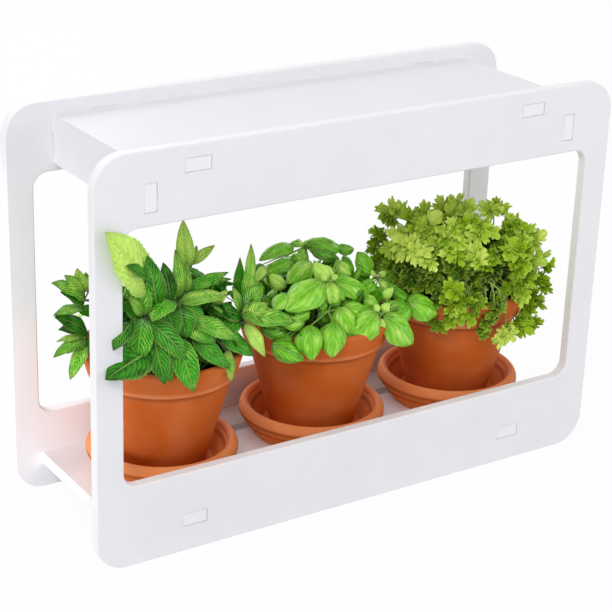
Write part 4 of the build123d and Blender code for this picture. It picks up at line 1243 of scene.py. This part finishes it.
class Fans:
    """Parsley leaflets, gathered one by one and then shaped all together."""

    def __init__(self, out_rings, columns, *cuts):
        """Each cut is how many notches go round, how deep they are, and how narrow."""
        self.out_rings, self.columns, self.cuts = out_rings, columns, cuts
        self.gathered = []

    def add(self, middle, growth, facing, radius, tone, frill):
        self.gathered.append((*middle, *growth, *facing, radius, tone, frill))

    def piece(self, name, finish, body, slot):
        """Rings of points at shares of the rim's distance from the leaflet's foot.

        The rim is furthest away in the direction of growth. Cuts go into it, each even all round: the
        widest part it into lobes, and the others make the teeth. The sheet rises with the square of the
        share, in a wave of three to five crests around it and a small one for each tooth.
        """
        g = np.array(self.gathered)
        middle, growth, facing = g[:, 0:3], unit(g[:, 3:6]), g[:, 6:9]
        radius, tone, frill = g[:, 9], g[:, 10], g[:, 11]
        up = unit(facing - (facing * growth).sum(1, keepdims=True) * growth)
        side = np.cross(growth, up)
        angle = 2 * np.pi * (np.arange(self.columns) + 0.5) / self.columns - np.pi
        phase = rng.uniform(0, 2 * np.pi, (len(g), 1))
        bent = angle + 0.25 * np.sin(2 * angle + phase)
        rim = np.maximum(0.5 + 0.5 * np.cos(angle), 0.02) ** 0.75
        for number, depth, narrow in self.cuts:
            rim = rim * (1 - depth * abs((bent / (2 * np.pi) * number + 0.5) % 1.0 * 2 - 1) ** narrow)
        out = np.arange(1, self.out_rings + 1) / self.out_rings
        shares = np.concatenate([out, out[::-1] * 0.97])
        skin = np.repeat((HALF_SHEET, -HALF_SHEET), self.out_rings)
        crests = rng.integers(3, 6, (len(g), 1))
        wave = np.sin(crests * angle + phase) + 0.4 * np.sin(self.cuts[1][0] * angle)
        reach = radius[:, None, None] * rim[:, None] * shares[:, None]
        lift = radius[:, None, None] * shares[:, None] ** 2 * (frill[:, None, None] * wave[:, None] + 0.15)
        lift = lift + skin[:, None]
        rings = middle[:, None, None] + reach[..., None] * (
            np.cos(angle)[:, None] * growth[:, None, None] + np.sin(angle)[:, None] * side[:, None, None]
        ) + lift[..., None] * up[:, None, None]
        ends = middle[:, None] + np.array((HALF_SHEET, -HALF_SHEET))[:, None] * up[:, None]
        spots = np.stack(np.broadcast_arrays(shares[:, None], (angle + np.pi) / (2 * np.pi)), -1)
        spots = np.broadcast_to(spots, rings.shape[:3] + (2,))
        rings, ends = against_panel(rings[:, :, ::-1].copy()), against_panel(ends)
        return skins(name, rings, ends, finish, body, slot, spots[:, :, ::-1], tone)


parsley = Fans(2, 60, (5, 0.50, 2.7), (15, 0.30, 2.2))
parsley_fill = Fans(1, 30, (5, 0.55, 2.6), (15, 0.28, 2.0))
parsley_stalks = []

# %% [markdown]
# ## The parsley's crown
#
# The fans of the picture lie on a crown, an ellipsoid about the plant's middle. So a row of their table
# says only where a fan lies in the picture and how far out on the crown, and the line of sight gives its
# depth. A row then needs seven numbers instead of ten.

# %% The crown
parsley_heart = np.array((POT_X["right"] + 0.004, 0.0, RIM_LEVEL + 0.022))
parsley_radii = np.array((0.082, 0.064, 0.064))
# Leaves below this level hang in front of the pot, on an ellipsoid so tall that it is nearly a tube
HANGING_LEVEL = RIM_LEVEL + 0.006
hanging_radii = np.array((0.069, 0.069, 9.0))


def near_side(pixel, middle, radii):
    """Where a line of sight meets the near side of an ellipsoid, or passes nearest to it.

    With all lengths divided by the radii the ellipsoid is a ball of radius 1, and the way back from the
    point nearest its middle is the root of 1 less the square of that point's distance.
    """
    eye = (np.array(camera_place) - middle) / radii
    way = unit((on_sight(pixel, 0.0) - np.array(camera_place)) / radii)
    along = -(eye @ way)
    off = eye @ eye - along ** 2
    return (eye + way * (along - math.sqrt(max(0.0, 1 - off)))) * radii + middle


def on_crown(pixel, share):
    """A place on the parsley's crown, or in front of the pot where leaves hang over its rim."""
    place = near_side(pixel, parsley_heart, parsley_radii * share)
    if place[2] < HANGING_LEVEL:
        place = near_side(pixel, parsley_heart, hanging_radii)
    return place


# %% Parsley leaves of the picture
# Each fan: its middle in the picture, how far out on the crown, its radius in mm, the way it grows in
# the picture (0 is right and 90 is up), its tone and its frill
parsley_fans = (
    (384, 214, 1.0, 11, 150, 0.80, 0.3), (393, 208, 1.0, 11, 90, 0.84, 0.3),
    (401, 209, 1.0, 10, 40, 0.84, 0.3), (388, 221, 0.95, 10, 200, 0.72, 0.3),
    (376, 233, 1.0, 8, 170, 0.56, 0.4), (374, 243, 1.0, 7, 190, 0.50, 0.4),
    (381, 240, 0.95, 9, 230, 0.48, 0.4), (372, 250, 0.95, 7, 200, 0.42, 0.3),
    (412, 217, 1.0, 13, 140, 0.60, 0.25), (425, 213, 1.0, 13, 90, 0.66, 0.25),
    (431, 224, 1.0, 14, 40, 0.72, 0.25), (418, 229, 1.0, 13, 200, 0.66, 0.25),
    (427, 236, 0.95, 12, 270, 0.60, 0.25), (442, 206, 1.0, 12, 110, 0.78, 0.3),
    (456, 204, 1.0, 12, 70, 0.80, 0.3), (449, 214, 1.0, 12, 90, 0.72, 0.3),
    (467, 211, 1.0, 13, 60, 0.66, 0.15), (474, 222, 1.0, 13, 20, 0.48, 0.15),
    (466, 226, 0.98, 12, 90, 0.46, 0.15), (477, 236, 1.0, 14, 250, 0.54, 0.12),
    (488, 232, 1.0, 12, 330, 0.52, 0.15), (447, 232, 1.0, 13, 200, 0.64, 0.2),
    (455, 240, 0.98, 12, 320, 0.60, 0.2), (449, 251, 0.95, 13, 190, 0.46, 0.15),
    (459, 257, 0.95, 11, 300, 0.40, 0.15), (486, 208, 1.0, 10, 140, 0.68, 0.3),
    (495, 206, 1.02, 10, 80, 0.70, 0.3), (502, 208, 1.02, 9, 30, 0.70, 0.3),
    (507, 220, 1.0, 8, 120, 0.52, 0.5), (514, 220, 1.0, 8, 60, 0.50, 0.5),
    (508, 229, 0.98, 8, 200, 0.32, 0.5), (519, 229, 1.0, 9, 30, 0.52, 0.5),
    (526, 233, 1.0, 12, 60, 0.62, 0.3), (535, 239, 1.0, 12, 30, 0.68, 0.3),
    (518, 240, 1.0, 12, 120, 0.62, 0.3), (510, 249, 1.0, 14, 170, 0.60, 0.2),
    (522, 254, 1.0, 14, 20, 0.66, 0.25), (532, 262, 1.0, 13, 0, 0.66, 0.3),
    (541, 257, 1.0, 10, 20, 0.62, 0.4), (548, 266, 1.05, 8, 20, 0.60, 0.4),
    (516, 267, 1.0, 13, 220, 0.52, 0.2), (526, 278, 1.0, 13, 300, 0.60, 0.3),
    (540, 280, 1.0, 10, 340, 0.56, 0.4), (546, 288, 1.0, 8, 330, 0.55, 0.4),
    (509, 288, 1.0, 13, 200, 0.44, 0.25), (519, 297, 1.0, 12, 260, 0.70, 0.15),
    (532, 295, 1.0, 11, 320, 0.58, 0.45), (538, 303, 1.0, 9, 300, 0.60, 0.45),
    (527, 312, 1.0, 11, 280, 0.55, 0.3), (523, 326, 1.0, 13, 330, 0.52, 0.2),
    (532, 322, 1.0, 11, 20, 0.55, 0.2), (508, 333, 1.0, 13, 280, 0.86, 0.2),
    (500, 340, 1.0, 10, 240, 0.84, 0.2), (487, 322, 0.95, 10, 230, 0.32, 0.3),
    (483, 332, 0.98, 9, 270, 0.30, 0.3), (492, 313, 0.9, 10, 200, 0.25, 0.2),
    (500, 305, 0.9, 11, 330, 0.30, 0.2), (451, 287, 1.0, 11, 130, 0.60, 0.2),
    (446, 296, 1.0, 9, 200, 0.58, 0.2), (453, 304, 1.0, 13, 200, 0.56, 0.15),
    (464, 300, 0.98, 12, 20, 0.46, 0.15), (450, 320, 1.0, 10, 260, 0.45, 0.15),
    (458, 314, 1.0, 11, 290, 0.50, 0.15), (470, 315, 1.0, 12, 290, 0.48, 0.15),
    (478, 304, 0.95, 11, 330, 0.30, 0.2), (434, 324, 1.0, 9, 260, 0.28, 0.15),
    (441, 327, 1.0, 8, 300, 0.30, 0.15), (427, 318, 1.0, 7, 220, 0.25, 0.15),
    (474, 253, 0.98, 13, 120, 0.70, 0.2), (482, 262, 0.95, 10, 340, 0.40, 0.2),
    (452, 268, 0.9, 13, 160, 0.22, 0.2), (464, 272, 0.88, 12, 30, 0.20, 0.2),
    (490, 272, 0.88, 13, 250, 0.18, 0.2), (490, 258, 0.9, 12, 60, 0.16, 0.2),
    (478, 284, 0.86, 12, 330, 0.24, 0.2), (470, 292, 0.9, 11, 200, 0.30, 0.2),
    (398, 236, 1.0, 13, 160, 0.86, 0.2), (403, 249, 1.0, 14, 250, 0.92, 0.2),
    (390, 250, 1.0, 11, 190, 0.80, 0.2), (412, 243, 1.0, 12, 60, 0.84, 0.2),
    (422, 254, 1.0, 13, 350, 0.80, 0.2), (430, 262, 0.98, 10, 320, 0.60, 0.2),
    (436, 270, 0.9, 13, 300, 0.20, 0.25), (424, 270, 0.9, 12, 240, 0.22, 0.25),
    (414, 268, 0.92, 12, 200, 0.24, 0.25), (428, 282, 0.9, 12, 280, 0.24, 0.25),
    (419, 286, 0.95, 9, 220, 0.42, 0.2), (438, 284, 0.88, 11, 330, 0.16, 0.25),
    (440, 300, 0.92, 9, 270, 0.14, 0.25), (415, 256, 0.9, 10, 250, 0.30, 0.2),
    (392, 262, 0.92, 11, 220, 0.16, 0.3), (382, 256, 0.92, 10, 200, 0.10, 0.3),
    (403, 262, 0.9, 11, 260, 0.14, 0.3), (440, 240, 0.93, 13, 60, 0.50, 0.2),
    (503, 232, 0.9, 12, 90, 0.24, 0.2), (500, 246, 0.9, 12, 90, 0.22, 0.2),
    (398, 276, 1.0, 11, 210, 0.12, 0.3), (410, 280, 1.0, 12, 260, 0.16, 0.3),
    (404, 290, 1.0, 11, 230, 0.14, 0.3), (416, 297, 1.0, 11, 280, 0.22, 0.3),
    (410, 305, 1.0, 9, 250, 0.20, 0.3), (424, 308, 1.0, 10, 300, 0.26, 0.3),
    (397, 296, 1.0, 9, 200, 0.16, 0.3),
)
# Each fan is three leaflets: the way it turns from the fan's, how far along the fan, and its size
LEAFLETS = ((0, 0.75, 1.20), (62, 0.35, 1.05), (-62, 0.35, 1.05))
FAN_STALK, LEAFLET_STALK = (0.0011, 0.0006), (0.0007, 0.0005)
PARSLEY_ROOT_REACH = 0.02
# The stalk of a hanging fan arches over the rim at this reach and this height over it
ARCH_REACH, ARCH_RISE = 0.076, 0.045
# Fans below this line of the picture get painted shade, and fans above it are painted paler, as light
SHADE_LINE = 265


def way_in_picture(degrees):
    """The direction in space that points this way in the picture: 0 is right and 90 is up."""
    turn = math.radians(degrees)
    return np.array(camera_right) * math.cos(turn) + np.array(camera_up) * math.sin(turn)


for x, y, share, radius, way, tone, frill in parsley_fans:
    middle = on_crown((x, y), share)
    # Painted shade below the line, painted light above it
    tone = tone - 0.12 if y > SHADE_LINE else tone * 0.85 + 0.15
    size = radius * MILLIMETRE
    growth = way_in_picture(way)
    outward = unit((middle - parsley_heart) / parsley_radii)
    facing = outward * 0.5 + TO_CAMERA * 0.7 + UPWARD * 0.3 + rng.normal(0, 0.25, 3)
    foot_of_fan = middle - growth * size * 0.9
    for part, forth, reach in LEAFLETS:
        leaflet = way_in_picture(way + part + rng.uniform(-12, 12))
        parsley.add(foot_of_fan + growth * size * forth, leaflet + outward * rng.uniform(0.1, 0.5),
                    facing + rng.normal(0, 0.2, 3), size * reach, tone + rng.uniform(-0.12, 0.12), frill)
    foot = pot_point("right", PARSLEY_ROOT_REACH, rng.uniform(0, 360), ROOT_LEVEL)
    under = foot_of_fan - growth * 0.004 - outward * 0.008
    pull = foot * 0.4 + under * 0.6 + UPWARD * 0.01
    if middle[2] < HANGING_LEVEL:
        under = foot_of_fan + UPWARD * 0.006
        azimuth = math.degrees(math.atan2(middle[1], middle[0] - POT_X["right"]))
        pull = pot_point("right", ARCH_REACH, azimuth, RIM_LEVEL + ARCH_RISE)
    parsley_stalks.append((foot, pull, under, *FAN_STALK))
    parsley_stalks.append((under, (under + foot_of_fan) / 2, foot_of_fan, *LEAFLET_STALK))
print("parsley leaflets of the picture:", len(parsley.gathered))

# %% [markdown]
# ## The parsley's inside and rear
#
# The rest of the crown is filled from a golden spiral, which spreads any number of places evenly over a
# ball. Random places would crowd in some spots and leave holes in others. On the camera's side the places
# lie deeper, behind the fans of the picture, and their lower tones are painted shade. The skyline draws
# the highest ones in.

# %% Parsley fill
parsley_skyline = ((365, 380, 395, 401, 410, 440, 470, 490, 497, 504, 520, 545, 555),
                   (255, 232, 226, 236, 214, 205, 210, 216, 232, 224, 232, 258, 290))
GOLDEN_ANGLE = math.pi * (3 - math.sqrt(5))
FILL_PLACES, FILL_ROOM = 260, 0.056
for step in range(FILL_PLACES):
    level = 1 - 1.2 * (step + 0.5) / FILL_PLACES
    around = GOLDEN_ANGLE * step
    flat = math.sqrt(1 - level ** 2)
    outward = np.array((flat * math.cos(around), flat * math.sin(around), level))
    shown = outward @ TO_CAMERA > 0.35
    share = rng.uniform(0.58, 0.72) if shown else rng.uniform(0.84, 1.0)
    size = rng.uniform(0.009, 0.013)
    middle = parsley_heart + outward * share * parsley_radii
    while not under_skyline(middle + (outward + UPWARD) * size * 1.2, parsley_skyline) and share > 0.3:
        share -= 0.05
        middle = parsley_heart + outward * share * parsley_radii
    middle[1] = np.clip(middle[1], -FILL_ROOM, FILL_ROOM)
    beside = unit(np.cross(outward, rng.normal(0, 1, 3)))
    for swing in (-1.1, 0.0, 1.1):
        growth = outward * 0.25 + beside * math.cos(swing) + np.cross(outward, beside) * math.sin(swing)
        # On the camera's side the tone is lowered, as painted shade
        parsley_fill.add(middle + growth * size * 0.3, growth, outward + rng.normal(0, 0.3, 3), size,
                         rng.uniform(0.1, 0.6) - 0.25 * shown, 0.25)
    foot = pot_point("right", PARSLEY_ROOT_REACH, math.degrees(around), ROOT_LEVEL)
    parsley_stalks.append((foot, foot * 0.4 + middle * 0.6 + UPWARD * 0.01, middle, *FAN_STALK))

# %% Parsley pieces
parsley_piece = parsley.piece("parsley_foliage", parsley_finish, "pot_right", "parsley_leaf")
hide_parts("parsley_leaves")
parsley_fill.piece("parsley_fill_foliage", parsley_finish, "pot_right", "parsley_leaf")
parsley_stalk_piece = skins(
    "parsley_shoots", *stalk_points(parsley_stalks, 6, 5), parsley_stalk, "pot_right", "plant_stem",
    sharp=80.0)
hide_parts("parsley_stems")
